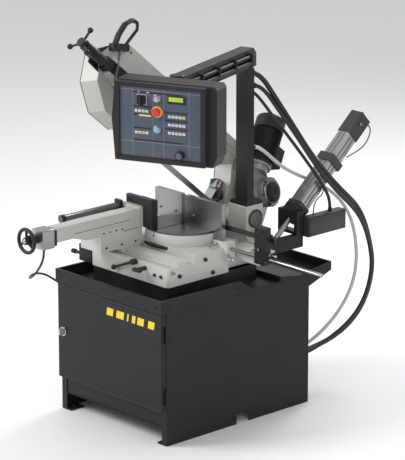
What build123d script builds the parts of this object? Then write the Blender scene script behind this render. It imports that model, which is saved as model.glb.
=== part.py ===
from build123d import *
from math import atan2, cos, hypot, radians, sin, tan
import os

# A semi-automatic metal-cutting band saw: a floor cabinet with a chip tray, a cast base
# with a turntable and vise, and a tilted two-wheel saw head that swings down on a pivot.
# Frame: origin on the floor under the turntable's centre, +X right, +Y back, +Z up, mm.

# ---- driving dimensions -------------------------------------------------------------------
table_z = 950.0            # height of the work surface
cabinet_w = 776.0          # cabinet width over the side panels
cabinet_d = 966.0          # cabinet depth
cabinet_h = 668.0          # cabinet height under the chip tray
sheet = 4.0                # sheet metal thickness
tray_front_z = 738.0       # top of the tray's front lip
tray_stand = 34.0          # how far door and tray stand in front of the cabinet
tray_rear = 158.0          # overhang of the tray behind the cabinet
tray_rear_z = 709.0        # top of the tray's rear wall
anchor_x, anchor_y, anchor_r = 700.0, 880.0, 7.0
kick_z, door_z0 = 89.0, 183.0
cast_w = 561.0             # base casting, along X
cast_y0, cast_step_y, cast_y1 = -376.0, -196.0, 28.0
cast_z0, cast_shelf_z, cast_top_z = 753.0, 846.0, 884.0
rail_y0, rail_y1, rail_h, rail_flare = -304.0, -244.0, 20.0, 6.0
disc_r = 200.0             # turntable radius
disc_t = 10.0              # wear plate on the turntable
kerf_w, kerf_depth = 8.0, 24.0
blade_x = -12.0            # plane of the cut
blade_w, blade_t = 27.0, 0.9
wheel_r = 150.0            # band wheel radius
wheel_rim_w = 32.0
drive_l, idler_l = -250.0, 860.0   # wheel centres along the bow
raise_deg = 40.0           # how far the head stands raised
tilt_deg = 16.0            # lean of the wheel plane
pivot_y, pivot_z = 268.0, 967.0
pivot_r = 30.0
bow_y, bow_z = 132.0, 1060.0       # a point of the cutting strand, head raised
plate_n, plate_t = 60.0, 8.0       # back plate of the bow, beside the wheels
rim_c, rim_t, cover_t = 38.0, 5.0, 6.0
beam_w = 215.0             # underside of the bow's beam above the strand
cover_out = 40.0           # how far the covers stand outside the wheels
block_x0, block_x1 = 95.0, 219.0   # pivot block
column_h = 1734.0          # top of the control column
boom_deg, boom_l, boom_h, boom_w = 18.8, 700.0, 95.0, 70.0
panel_deg, panel_w, panel_h, panel_d = 24.0, 407.0, 332.0, 150.0
feed_x, feed_deg = 280.0, 41.3     # feed cylinder's plane and slope
feed_y, feed_z = 358.4, 864.0      # a point of the feed cylinder's axis
lift_y, lift_z = 319.2, 835.6      # lifting pin, head raised
arm_x0, arm_x1 = -165.0, -97.0    # vise arm
fence_t, fence_top = 24.0, 1095.0
gap = 0.4                  # running gap between parts that slide or turn
fit = 0.05                 # radial clearance of a shaft in its bore

os.makedirs("parts", exist_ok=True)

half_w, half_d = cabinet_w / 2, cabinet_d / 2
front_y = -half_d - tray_stand
rear_y = half_d + tray_rear


def block(x0, x1, y0, y1, z0, z1, mode=Mode.ADD):
    """A box between two corners, in the open part."""
    with Locations(((x0 + x1) / 2, (y0 + y1) / 2, (z0 + z1) / 2)):
        Box(x1 - x0, y1 - y0, z1 - z0, mode=mode)


def outline(plane, points, amount, both=False, mode=Mode.ADD):
    """A closed polygon on a plane, extruded."""
    with BuildSketch(plane) as face:
        with BuildLine():
            Polyline(*points, close=True)
        make_face()
    extrude(face.sketch, amount=amount, both=both, mode=mode)


def disc(plane, centre, radius, amount, mode=Mode.ADD):
    """A round bar or a round hole that starts on a plane."""
    with BuildSketch(plane) as face:
        with Locations(centre):
            Circle(radius)
    extrude(face.sketch, amount=amount, mode=mode)


def write(builder, label):
    builder.part.label = label
    export_step(builder.part, f"parts/{label}.step")


def yz(x):
    return Plane.YZ.offset(x)


def xz(y):
    """Plane facing the front (-Y) at depth y: local x is X, local y is Z."""
    return Plane(origin=(0, y, 0), x_dir=(1, 0, 0), z_dir=(0, -1, 0))


# ---- cabinet ------------------------------------------------------------------------------
flange_w = 36.0
hinge_x, hinge_y = half_w + 5, -half_d - 6
knuckle_zs = (265, 578)
entry_z = 205.0
entries = ((190, 10), (228, 14), (264, 11))
with BuildPart() as cabinet:
    block(-half_w, half_w, -half_d, half_d, 0, cabinet_h)
    block(-half_w + sheet, half_w - sheet, -half_d - 1, half_d - sheet, kick_z + sheet, cabinet_h - sheet, Mode.SUBTRACT)
    block(-half_w + sheet, half_w - sheet, -half_d - 1, half_d + 1, -1, kick_z, Mode.SUBTRACT)
    for side in (-1, 1):                       # forklift pockets in the side panels
        block(side * half_w - sheet - 1, side * half_w + sheet + 1, -16, 70, -1, 53, Mode.SUBTRACT)
    for side in (-1, 1):                       # front flanges and floor pads
        x_in = side * (half_w - flange_w)
        x_out = side * half_w
        block(min(x_in, x_out), max(x_in, x_out), -half_d, -half_d + sheet, 0, cabinet_h)
        for end in (-1, 1):
            y_mid = end * anchor_y / 2
            x_mid = side * anchor_x / 2
            pad_x = sorted((x_mid - side * 30, side * half_w))
            block(pad_x[0], pad_x[1], y_mid - 43, y_mid + 43, 0, 8)
            with Locations((x_mid, y_mid, 4)):
                Cylinder(anchor_r, 20, mode=Mode.SUBTRACT)
    block(-half_w + flange_w + 1, half_w - flange_w - 1, -half_d + sheet, -half_d + 2 * sheet, kick_z, door_z0 + 20)
    for x, entry_r in entries:                 # hose entries in the rear wall
        with Locations((x, half_d, entry_z)):
            Cylinder(entry_r, 20, rotation=(90, 0, 0), mode=Mode.SUBTRACT)
    for z in knuckle_zs:                       # leaves under the door's knuckles
        block(half_w - 1, hinge_x, hinge_y + 1, hinge_y + 26, z - 54, z - 30.4)
        block(half_w + 0.5, half_w + 9.5, hinge_y - 4.5, hinge_y + 4.5, z - 54, z - 30.4)
write(cabinet, "cabinet")

tray_floor_z = cabinet_h + sheet
side_profile = [
    (front_y, cabinet_h + 0.2), (front_y, tray_front_z), (7, 734), (96, tray_floor_z + 4), (383, tray_floor_z + 4),
    (rear_y, tray_rear_z), (rear_y, tray_rear_z - 46), (half_d + 6, 611), (half_d + 0.5, 611), (half_d + 0.5, cabinet_h + 0.2),
]
with BuildPart() as tray:
    outline(yz(0), side_profile, half_w, both=True)
    hollow = [
        (front_y + sheet, tray_floor_z), (front_y + sheet, tray_front_z + 1), (rear_y - sheet, tray_front_z + 1),
        (rear_y - sheet, tray_rear_z - 43), (half_d + 8, 617), (half_d - 10, tray_floor_z),
    ]
    outline(yz(0), hollow, half_w - sheet, both=True, mode=Mode.SUBTRACT)
    ramp = [(cast_y1 + 255, tray_floor_z - 1), (cast_y1 + 255, tray_floor_z + 28), (half_d - 14, tray_floor_z - 1)]
    outline(yz(0), ramp, half_w - 1, both=True)
write(tray, "tray")

# ---- coolant tank and pump inside the cabinet ---------------------------------------------
tank_w, tank_d, tank_h = 520.0, 420.0, 180.0
tank_x, tank_y, tank_z = 0.0, -180.0, kick_z + sheet + 0.2
with BuildPart() as coolant_tank:
    with Locations((tank_x, tank_y, tank_z + tank_h / 2)):
        Box(tank_w, tank_d, tank_h)
    fillet(coolant_tank.edges().filter_by(Axis.Z), 20)
    offset(amount=-sheet, openings=coolant_tank.faces().sort_by(Axis.Z)[-1:])

pump_x, pump_y, pump_r = 170.0, -60.0, 55.0
with coolant_tank:
    block(pump_x - 75, tank_x + tank_w / 2, pump_y - 80, tank_y + tank_d / 2, tank_z + tank_h, tank_z + tank_h + 5)
    disc(Plane.XY.offset(tank_z + 30), (pump_x, pump_y), 30, tank_h - 30 + 1)
    disc(Plane.XY.offset(tank_z + tank_h + 5), (pump_x, pump_y), pump_r, 150)
    disc(Plane.XY.offset(tank_z + tank_h + 155), (pump_x, pump_y), pump_r + 4, 35)
write(coolant_tank, "coolant_tank")

# ---- door, hinged on the right, and its latch ---------------------------------------------
door_x0, door_x1 = -370.0, half_w
door_z1 = cabinet_h - 2
latch_x, latch_z = -336.0, 423.0
with BuildPart() as door:
    block(door_x0, door_x1 - 2, front_y, -half_d - gap, door_z0, door_z1)
    block(door_x0 + sheet, door_x1 - 2 - sheet, front_y + sheet, -half_d + 1, door_z0 + sheet, door_z1 - sheet, Mode.SUBTRACT)
    for z in knuckle_zs:                       # hinge knuckles
        disc(Plane.XY.offset(z - 30), (hinge_x, hinge_y), 5, 60)
        block(door_x1 - 8, hinge_x, hinge_y - 2, hinge_y + 2, z - 30, z + 30)
    disc(xz(front_y + sheet + 1), (latch_x, latch_z), 9 + gap, sheet + 2, Mode.SUBTRACT)
write(door, "door")

with BuildPart() as door_latch:
    disc(xz(front_y - gap), (latch_x, latch_z), 17, 8)
    disc(xz(front_y + 16), (latch_x, latch_z), 9, 17)
    block(latch_x - 6, latch_x + 6, front_y - 22, front_y - 6, latch_z - 15, latch_z + 15)
    block(latch_x - 26, latch_x + 9, front_y + 12, front_y + 16, latch_z - 9, latch_z + 9)
write(door_latch, "door_latch")

# ---- plinth and base casting --------------------------------------------------------------
with BuildPart() as plinth:
    block(-270, 270, -370, 230, tray_floor_z + 0.2, cast_z0)
    block(-262, 262, -362, 222, tray_floor_z - 1, cast_z0 + 1, Mode.SUBTRACT)
write(plinth, "plinth")

cast_x = cast_w / 2
spindle_r = 45.0
lever_x, lever_z = 120.0, 822.0
with BuildPart() as base_casting:
    block(-cast_x, cast_x, cast_y0, cast_y1, cast_z0, cast_shelf_z)
    block(-cast_x, cast_x, cast_step_y, cast_y1, cast_shelf_z, cast_top_z)
    block(-230, 230, cast_y1, 240, cast_z0, cast_z0 + 45)
    outline(yz(0), [(rail_y0, cast_shelf_z), (rail_y0 - rail_flare, cast_shelf_z + rail_h),
                    (rail_y1 + rail_flare, cast_shelf_z + rail_h), (rail_y1, cast_shelf_z)], cast_x, both=True)
    block(-cast_x - 1, cast_x + 1, rail_y0 - 46, rail_y0 - 26, cast_shelf_z - 22, cast_shelf_z + 1, Mode.SUBTRACT)
    block(-cast_x - 1, cast_x + 1, rail_y0 - 52, rail_y0 - 20, cast_shelf_z - 34, cast_shelf_z - 22, Mode.SUBTRACT)
    with Locations((0, 0, cast_top_z - 25)):
        Cylinder(spindle_r + fit, 52, mode=Mode.SUBTRACT)
    fillet(base_casting.edges().filter_by(Axis.Z).group_by(Axis.Y)[0], 18)
write(base_casting, "base_casting")

# ---- turntable ----------------------------------------------------------------------------
rim_z0 = cast_top_z + gap
kerf_z = table_z - kerf_depth
with BuildPart() as turntable_rim:
    disc(Plane.XY.offset(rim_z0), (0, 0), disc_r, table_z - disc_t - rim_z0)
    disc(Plane.XY.offset(rim_z0 + 16), (0, 0), disc_r - 34, 60, Mode.SUBTRACT)
    disc(Plane.XY.offset(cast_top_z - 45), (0, 0), spindle_r, 62)
    block(blade_x - kerf_w / 2, blade_x + kerf_w / 2, -disc_r - 1, disc_r + 1, kerf_z, table_z + 1, Mode.SUBTRACT)
write(turntable_rim, "turntable_rim")

with BuildPart() as wear_plate:
    disc(Plane.XY.offset(table_z - disc_t), (0, 0), disc_r - 6, disc_t)
    fillet(wear_plate.faces().sort_by(Axis.Z)[-1].edges(), 1)
    for side in (-1, 1):                              # strap that joins the halves under the kerf
        strap_x = blade_x + side * (kerf_w / 2 + 10)
        block(strap_x - 10, strap_x + 10, -60, 60, kerf_z - 6, table_z - disc_t + 1)
    block(blade_x - kerf_w / 2, blade_x + kerf_w / 2, -disc_r - 1, disc_r + 1, kerf_z - 7, table_z + 1, Mode.SUBTRACT)
    block(blade_x - kerf_w / 2 - 1, blade_x + kerf_w / 2 + 1, -60, 60, kerf_z - 6, kerf_z - 1)
write(wear_plate, "wear_plate")

# ---- swivelling support behind the turntable ----------------------------------------------
arm_z0 = cast_z0 + 50
foot_z = 884.0
foot_t = 21.0


def sector(radius0, radius1, deg0, deg1):
    """Corner points of a ring sector, with straight chords."""
    steps = [deg0 + (deg1 - deg0) * i / 6 for i in range(7)]
    outer = [(radius1 * cos(radians(a)), radius1 * sin(radians(a))) for a in steps]
    inner = [(radius0 * cos(radians(a)), radius0 * sin(radians(a))) for a in reversed(steps)]
    return outer + inner


bracket_y0, bracket_y1, bracket_z0 = 441.0, 490.0, 871.0
with BuildPart() as swivel_arm:
    outline(Plane.XY.offset(arm_z0), sector(128, 262, 47, 104), 63)
    outline(Plane.XY.offset(arm_z0 + 60), sector(150, 192, 47, 104), rim_z0 - arm_z0 - 60)
    block(75, 252, 190, 292, arm_z0, foot_z)
    block(250, 336, 190, 258, arm_z0, bracket_z0)
    block(304, 336, 250, bracket_y1, arm_z0, bracket_z0)
write(swivel_arm, "swivel_arm")

with BuildPart() as pivot_block:
    block(75, block_x1 + 17, 190, pivot_y + 54, foot_z, foot_z + foot_t)
    block(block_x0, block_x1, pivot_y - 62, pivot_y + 54, foot_z + foot_t, 1038)
    fillet(pivot_block.edges().filter_by(Axis.X).group_by(Axis.Z)[-1], 8)
    with Locations((block_x0 - 1, pivot_y, pivot_z)):
        Cylinder(pivot_r + fit, 300, rotation=(0, 90, 0), mode=Mode.SUBTRACT)
write(pivot_block, "pivot_block")

column_x0, column_y0 = 136.0, 215.0
column_w, column_d = 83.0, 44.0
column_x, column_y = column_x0 + column_w / 2, column_y0 + column_d / 2
column_base_z = 1038.0
with BuildPart() as column:
    block(block_x0 + 4, block_x1 - 0.5, pivot_y - 58, pivot_y + 50, column_base_z, column_base_z + 14)
    block(column_x0, column_x0 + column_w - 0.5, column_y0, column_y0 + column_d, column_base_z + 14, column_h)
    block(column_x0 + 4, column_x0 + column_w - 4.5, column_y0 + 4, column_y0 + column_d - 4,
          column_base_z + 14, column_h - 10, Mode.SUBTRACT)
write(column, "column")

# ---- boom and control panel ---------------------------------------------------------------
boom_dir = Vector(sin(radians(boom_deg)), -cos(radians(boom_deg)), 0)
boom_z0 = column_h + gap
boom_plane = Plane(origin=(column_x, column_y, boom_z0), x_dir=boom_dir, z_dir=(0, 0, 1))
with BuildPart() as boom:
    with BuildSketch(boom_plane):
        with Locations((boom_l / 2 - 25, 0)):
            Rectangle(boom_l + 50, boom_w)
    extrude(amount=boom_h)
    chamfer(boom.faces().sort_by(Axis.Z)[-1].edges().sort_by(Axis((0, 0, 0), boom_dir))[:1], 30)
    with BuildSketch(boom_plane.offset(-70)):
        with Locations((boom_l, 0)):
            Circle(30)
    extrude(amount=70 + boom_h)
write(boom, "boom")

panel_n = Vector(sin(radians(panel_deg)), -cos(radians(panel_deg)), 0)
panel_u = Vector(cos(radians(panel_deg)), sin(radians(panel_deg)), 0)
arm_off = 51.0
panel_back = Vector(column_x, column_y, 0) + boom_dir * boom_l + panel_n * arm_off
panel_mid_z = 1645.0
panel_face_o = panel_back + panel_n * panel_d + Vector(0, 0, panel_mid_z)
panel_plane = Plane(origin=panel_face_o, x_dir=panel_u, z_dir=panel_n)     # x across, y up, z out
bezel = 24.0
hw, hh = panel_w / 2, panel_h / 2
housing_front = [(-hw - bezel, hh + bezel - 4), (hw + bezel, hh + bezel - 4), (hw + bezel, -hh - bezel), (-hw - bezel, -hh - bezel)]
housing_mid = [(-hw - 52, 12), (-hw - bezel - 4, hh + bezel), (hw + bezel + 34, hh + bezel), (hw + bezel + 46, hh + 6),
               (hw + bezel + 46, -hh + 20), (hw + bezel + 26, -hh - bezel - 4), (-hw - bezel - 4, -hh - bezel - 4)]
controls = ((-93, 107, 12), (-15, 119, 12), (-13, 56, 11), (-15, -29, 11), (102, -141, 10))
with BuildPart() as panel_housing:
    outline(panel_plane.offset(-panel_d), housing_mid, panel_d - 34)
    outline(panel_plane.offset(-34), [(-hw - 40, 12)] + housing_front, 34)
    with BuildSketch(panel_plane.offset(-10)):
        Rectangle(panel_w + 2, panel_h + 2)
    extrude(amount=12, mode=Mode.SUBTRACT)
    with BuildSketch(panel_plane.offset(-panel_d + 6)):
        Rectangle(panel_w - 20, panel_h - 20)
    extrude(amount=panel_d - 22, mode=Mode.SUBTRACT)
    with BuildSketch(panel_plane.offset(-18)):
        Rectangle(panel_w + 4, panel_h + 4)
    extrude(amount=11)
    for cx, cy, r in controls:
        disc(panel_plane.offset(-20), (cx, cy), r + gap, 30, Mode.SUBTRACT)
    disc(panel_plane.offset(-8), (-13, 56), 27, 10)
    disc(panel_plane.offset(-9), (-13, 56), 11 + gap, 12, Mode.SUBTRACT)
    panel_tube = Plane(origin=panel_back - panel_n * arm_off + Vector(0, 0, panel_mid_z - 55), x_dir=panel_u, z_dir=(0, 0, 1))
    with BuildSketch(panel_tube):
        Circle(43)
        with Locations((0, -(arm_off + 4) / 2)):
            Rectangle(64, arm_off + 4)
    extrude(amount=110)
    with BuildSketch(panel_tube.offset(-5)):
        Circle(30 + fit)
    extrude(amount=120, mode=Mode.SUBTRACT)
write(panel_housing, "panel_housing")

face_c = -7.0 + gap
with BuildPart() as main_switch:
    disc(panel_plane.offset(-22), (-93, 107), 12, 22 + face_c)
    with BuildSketch(panel_plane.offset(face_c)):
        with Locations((-93, 107)):
            RectangleRounded(46, 46, 4)
    extrude(amount=6)
    with BuildSketch(panel_plane.offset(face_c + 6)):
        with Locations((-93, 103)):
            Rectangle(13, 42)
    extrude(amount=22)
write(main_switch, "main_switch")

with BuildPart() as key_switch:
    disc(panel_plane.offset(-22), (-15, 119), 12, 22 + face_c)
    disc(panel_plane.offset(face_c), (-15, 119), 16, 7)
    with BuildSketch(panel_plane.offset(face_c + 7)):
        with Locations((-15, 119)):
            Rectangle(4, 20)
    extrude(amount=9)
write(key_switch, "key_switch")

with BuildPart() as emergency_stop:
    disc(panel_plane.offset(-22), (-13, 56), 11, 22 + 14)
    disc(panel_plane.offset(8), (-13, 56), 20, 16)
    fillet(emergency_stop.faces().sort_by(Axis((0, 0, 0), panel_n))[-1].edges(), 7)
write(emergency_stop, "emergency_stop")

with BuildPart() as start_button:
    disc(panel_plane.offset(-22), (-15, -29), 11, 22 + 2)
    disc(panel_plane.offset(-1), (-15, -29), 14, 8)
    fillet(start_button.faces().sort_by(Axis((0, 0, 0), panel_n))[-1].edges(), 3)
write(start_button, "start_button")

with BuildPart() as feed_knob:
    disc(panel_plane.offset(-22), (102, -141), 10, 22 + face_c)
    disc(panel_plane.offset(face_c), (102, -141), 21, 22)
    fillet(feed_knob.faces().sort_by(Axis((0, 0, 0), panel_n))[-1].edges(), 3)
write(feed_knob, "feed_knob")

# ---- saw head: everything below is laid out in the leaning plane of the band wheels ---------
t, f = radians(raise_deg), radians(tilt_deg)
along = Vector(0, -cos(t), sin(t))                       # from the pivot to the bow's tip
normal = Vector(cos(f), sin(f) * sin(t), sin(f) * cos(t))    # to the motor's side
bow_o = Vector(blade_x, bow_y, bow_z)
bow = Plane(origin=bow_o, x_dir=along, z_dir=normal * -1)  # x along, y up in the wheel plane, z to the covers
across = bow.y_dir


def bow_point(l, w, n):
    return bow_o + along * l + across * w + normal * n


low_w, high_w = -cover_out, 2 * wheel_r + cover_out
tip_l, rear_l = idler_l + 185, drive_l - 165
bow_outline = [
    (idler_l - 120, low_w), (idler_l + 45, low_w), (idler_l + 160, 62), (tip_l, 200), (idler_l + 150, 262),
    (idler_l + 20, high_w), (drive_l - 50, high_w), (rear_l, 250), (rear_l, 60), (drive_l - 80, low_w),
    (drive_l + 105, low_w), (drive_l + 162, 30), (drive_l + 162, 130), (drive_l + 190, beam_w),
    (idler_l - 220, beam_w), (idler_l - 170, 130), (idler_l - 170, 30),
]
bow_inner = [
    (idler_l - 118, low_w + rim_t), (idler_l + 43, low_w + rim_t), (idler_l + 155.4, 64.4), (tip_l - 5.4, 199.4),
    (idler_l + 146.5, 258), (idler_l + 18.5, high_w - rim_t), (drive_l - 48.5, high_w - rim_t),
    (rear_l + rim_t, 247.6), (rear_l + rim_t, 62), (drive_l - 78, low_w + rim_t), (drive_l + 102.6, low_w + rim_t),
    (drive_l + 157, 31.8), (drive_l + 157, 130.8), (drive_l + 186.6, beam_w + rim_t), (idler_l - 217, beam_w + rim_t),
    (idler_l - 165, 131.2), (idler_l - 165, 32),
]
slot_half, slot_l0, slot_l1 = 21.0, idler_l - 40, idler_l + 45
wheel_mid = wheel_r + blade_t + 0.1        # height of the wheel centres above the strand
slide_n0, slide_t = plate_n + plate_t + gap, 34.0
slide_w0, slide_w1 = wheel_mid - 32, wheel_mid + 32
slide_l0, slide_l1 = idler_l - 35, idler_l + 178
screw_l0, screw_l = idler_l + 195, 150.0
screw_w, screw_n = wheel_mid - 8, plate_n + plate_t + 33
screw_plane = Plane(origin=bow_point(screw_l0, screw_w, screw_n), x_dir=across, z_dir=along)
rail_l0, rail_l = 120.0, 400.0
guide_l, guide_l1 = 327.0, 435.0     # ends of the front guide's block
with BuildPart() as bow_frame:
    outline(bow.offset(-plate_n - plate_t), bow_outline, plate_n + plate_t + rim_c)
    outline(bow.offset(-plate_n), bow_inner, plate_n + rim_c + 1, mode=Mode.SUBTRACT)
    disc(bow.offset(-plate_n - plate_t - 1), (drive_l, wheel_r), 26, plate_t + 2, Mode.SUBTRACT)
    with BuildSketch(bow.offset(-plate_n - plate_t - 1)):
        with Locations(((slot_l0 + slot_l1) / 2, wheel_r)):
            Rectangle(slot_l1 - slot_l0, 2 * slot_half)
    extrude(amount=plate_t + 2, mode=Mode.SUBTRACT)
    for l_side in (drive_l + 132, idler_l - 145):    # slots that let the blade through
        with BuildSketch(bow.offset(-19)):
            with Locations((l_side, 0)):
                Rectangle(70, 40)
        extrude(amount=38, mode=Mode.SUBTRACT)
    for w0 in (slide_w0 - gap - 16, slide_w1 + gap):     # guides of the tension slide
        with BuildSketch(bow.offset(-plate_n - plate_t + 1)):
            with Locations((idler_l + 60, w0 + 8)):
                Rectangle(166, 16)
        extrude(amount=-(slide_t + 7))
    with BuildSketch(bow.offset(-plate_n)):              # plate under the tension screw
        with BuildLine():
            Polyline((idler_l + 100, 100), (idler_l + 250, 110), (idler_l + 250, 175), (idler_l + 150, 262), close=True)
        make_face()
    extrude(amount=-plate_t)
    with BuildSketch(screw_plane):
        Circle(26)
    extrude(amount=screw_l)
    with BuildSketch(bow.offset(-plate_n - plate_t)):
        with Locations((screw_l0 + 60, screw_w)):
            Rectangle(90, 34)
    extrude(amount=-12)
    with BuildSketch(screw_plane.offset(-1)):
        Circle(9 + gap)
    extrude(amount=screw_l + 2, mode=Mode.SUBTRACT)
    for c0 in (-38.4, 20.4):                             # rails of the front guide
        with BuildSketch(bow.offset(c0)):
            with Locations((rail_l0 + rail_l / 2, beam_w - 13)):
                Rectangle(rail_l, 28)
        extrude(amount=14)
write(bow_frame, "bow_frame")


def cover(l_lo, l_hi, label):
    """One lid of the blade guard, cut from the bow's outline between two places."""
    with BuildPart() as lid:
        with BuildSketch(bow.offset(rim_c + 0.3)):
            with BuildLine():
                Polyline(*bow_outline, close=True)
            make_face()
            with Locations(((l_lo + l_hi) / 2, wheel_r)):
                Rectangle(l_hi - l_lo, 800, mode=Mode.INTERSECT)
        extrude(amount=cover_t)
        chamfer(lid.faces().sort_by(Axis((0, 0, 0), normal * -1))[-1].edges(), 2.5)
    write(lid, label)


cover_split = idler_l - 262
cover(rear_l - 10, cover_split, "drive_cover")
cover(cover_split + 1, tip_l + 10, "idler_cover")

hub_face = Plane(origin=bow_point(0, 0, plate_n + plate_t), z_dir=normal)
pin_r = 12.0
with BuildPart() as hinge_hub:
    for y, z, r, x1 in ((pivot_y, pivot_z, 58, block_x0 - 1.5), (pivot_y, pivot_z, pivot_r, block_x1 + gap),
                        (lift_y, lift_z, 18, feed_x - 15), (lift_y, lift_z, pin_r, feed_x + 18)):
        with BuildSketch(yz(20)):
            with Locations((y, z)):
                Circle(r)
        extrude(amount=x1 - 20)
    with BuildSketch(yz(20)):                  # web between the hub and the lifting bar
        with BuildLine():
            Polyline((pivot_y - 50, pivot_z - 20), (lift_y - 17, lift_z - 6), (lift_y + 17, lift_z + 6),
                     (pivot_y + 57, pivot_z - 8), close=True)
        make_face()
    extrude(amount=70 - 20)
    with BuildSketch(yz(block_x1 + gap)):
        with Locations((pivot_y, pivot_z)):
            Circle(46)
    extrude(amount=6)
    split(bisect_by=hub_face, keep=Keep.TOP)
write(hinge_hub, "hinge_hub")

# blade: two half loops on the wheels, the straight upper strand, twisted runs and the cutting strand
strand_l0, strand_l1 = -100.0, 440.0       # vertical part of the blade
flat_l0, flat_l1 = drive_l + 12, 690.0          # flat on the wheels outside these


def blade_section(l, turn):
    """The blade's section across the bow at l, turned from the wheel plane towards the cut."""
    origin = bow_o + along * l + (across * (blade_t / 2)) * cos(radians(turn))
    wide = (normal * cos(radians(turn)) + across * sin(radians(turn)))
    return Plane(origin=origin, x_dir=wide, z_dir=along)


full_turn = 90.0 - tilt_deg
with BuildPart() as blade:
    with BuildSketch(bow.offset(-blade_w / 2)):
        for centre_l in (drive_l, idler_l):
            with Locations((centre_l, wheel_mid)):
                Circle(wheel_mid)
                Circle(wheel_mid - blade_t, mode=Mode.SUBTRACT)
        with Locations(((drive_l + idler_l) / 2, wheel_mid)):
            Rectangle(idler_l - drive_l, 3 * wheel_r, mode=Mode.SUBTRACT)
        with Locations(((drive_l + idler_l) / 2, 2 * wheel_mid - blade_t / 2)):
            Rectangle(idler_l - drive_l, blade_t)
        for l0, l1 in ((drive_l, flat_l0), (flat_l1, idler_l)):
            with Locations(((l0 + l1) / 2, blade_t / 2)):
                Rectangle(l1 - l0, blade_t)
    extrude(amount=blade_w)
    for l_flat, l_cut in ((flat_l0, strand_l0), (flat_l1, strand_l1)):
        for i in range(6):
            parts_l = [l_flat + (l_cut - l_flat) * (i + j) / 6 for j in (0, 1)]
            turns = [full_turn * (i + j) / 6 for j in (0, 1)]
            for l_here, turn in zip(parts_l, turns):
                with BuildSketch(blade_section(l_here, turn)):
                    Rectangle(blade_w, blade_t)
            loft()
    with BuildSketch(blade_section(strand_l0, full_turn)):
        Rectangle(blade_w, blade_t)
    extrude(amount=strand_l1 - strand_l0)
write(blade, "blade")


drive_shaft_r, idler_axle_r = 20.0, 17.0


def band_wheel(centre_l, label):
    """A spoked band wheel; the drive wheel carries its shaft, the idler turns on its axle."""
    with BuildPart() as wheel:
        disc(bow.offset(-wheel_rim_w / 2), (centre_l, wheel_mid), wheel_r - 0.3, wheel_rim_w)
        for c0 in (-wheel_rim_w / 2 - 1, 5):
            disc(bow.offset(c0), (centre_l, wheel_mid), wheel_r - 16, wheel_rim_w / 2 - 4, Mode.SUBTRACT)
        disc(bow.offset(-wheel_rim_w / 2 - 4), (centre_l, wheel_mid), 36, wheel_rim_w + 8)
        with BuildSketch(bow.offset(-wheel_rim_w)):
            with Locations((centre_l, wheel_mid)):
                with PolarLocations(85, 5):
                    Circle(22)
        extrude(amount=2 * wheel_rim_w, mode=Mode.SUBTRACT)
        if centre_l == drive_l:
            disc(bow.offset(-110), (centre_l, wheel_mid), drive_shaft_r, 110 + wheel_rim_w / 2 + 6)
        else:
            disc(bow.offset(-wheel_rim_w), (centre_l, wheel_mid), idler_axle_r + fit, 2 * wheel_rim_w, Mode.SUBTRACT)
    write(wheel, label)


band_wheel(drive_l, "drive_wheel")
band_wheel(idler_l, "idler_wheel")

# ---- drive: worm gearbox and motor ----------------------------------------------------------
gear_n0, gear_n1 = plate_n + plate_t + 0.2, 205.0
motor_l, motor_n, motor_r = drive_l + 86, 148.0, 76.0
motor_w0, motor_w1 = 262.0, 530.0
worm_n1 = 176.0
with BuildPart() as gearbox:
    disc(bow.offset(-gear_n0), (drive_l, wheel_mid), 75, -(gear_n1 - gear_n0))
    disc(bow.offset(-gear_n1 + 1), (drive_l, wheel_mid), 62, -11)
    with BuildSketch(bow.offset(-gear_n0 - 22)):
        with Locations((motor_l - 4, wheel_mid + 16)):
            RectangleRounded(92, 160, 16)
    extrude(amount=-(worm_n1 - gear_n0 - 22))
    with BuildSketch(Plane(origin=bow_point(motor_l, motor_w0 - 42, motor_n), x_dir=along, z_dir=across)):
        Circle(52)
    extrude(amount=30)
    with BuildSketch(Plane(origin=bow_point(motor_l, motor_w0 - 14, motor_n), x_dir=along, z_dir=across)):
        Circle(66)
    extrude(amount=14)
    disc(bow.offset(-gear_n0 + 1), (drive_l, wheel_mid), drive_shaft_r + fit, -50, Mode.SUBTRACT)
write(gearbox, "gearbox")

motor_plane = Plane(origin=bow_point(motor_l, motor_w0 + 0.2, motor_n), x_dir=along, z_dir=across)
motor_h = motor_w1 - motor_w0 - 0.2
with BuildPart() as motor:
    with BuildSketch(motor_plane):
        Circle(68)
    extrude(amount=16)
    with BuildSketch(motor_plane.offset(15)):
        Circle(motor_r - 9)
        with PolarLocations(motor_r - 6, 32):
            Rectangle(12, 3)
    extrude(amount=motor_h - 85)
    with BuildSketch(motor_plane.offset(motor_h - 76)):
        Circle(motor_r)
    extrude(amount=76)
    fillet(motor.faces().sort_by(Axis((0, 0, 0), across))[-1].edges(), 18)
    terminal_o = motor_plane.origin + across * 85 - along * (motor_r - 20)
    with BuildSketch(Plane(origin=terminal_o, x_dir=across, z_dir=along * -1)):
        Rectangle(104, 96)
    extrude(amount=50)
write(motor, "motor")

# ---- blade tension slide, its screw and three-ball handwheel --------------------------------
with BuildPart() as tension_slide:
    with BuildSketch(bow.offset(-slide_n0)):
        with Locations(((slide_l0 + slide_l1) / 2, wheel_mid)):
            Rectangle(slide_l1 - slide_l0, slide_w1 - slide_w0)
    extrude(amount=-slide_t)
    disc(bow.offset(-slide_n0 - 1), (idler_l, wheel_mid), idler_axle_r, slide_n0 + 1 + wheel_rim_w / 2 + 8)
write(tension_slide, "tension_slide")

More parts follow.
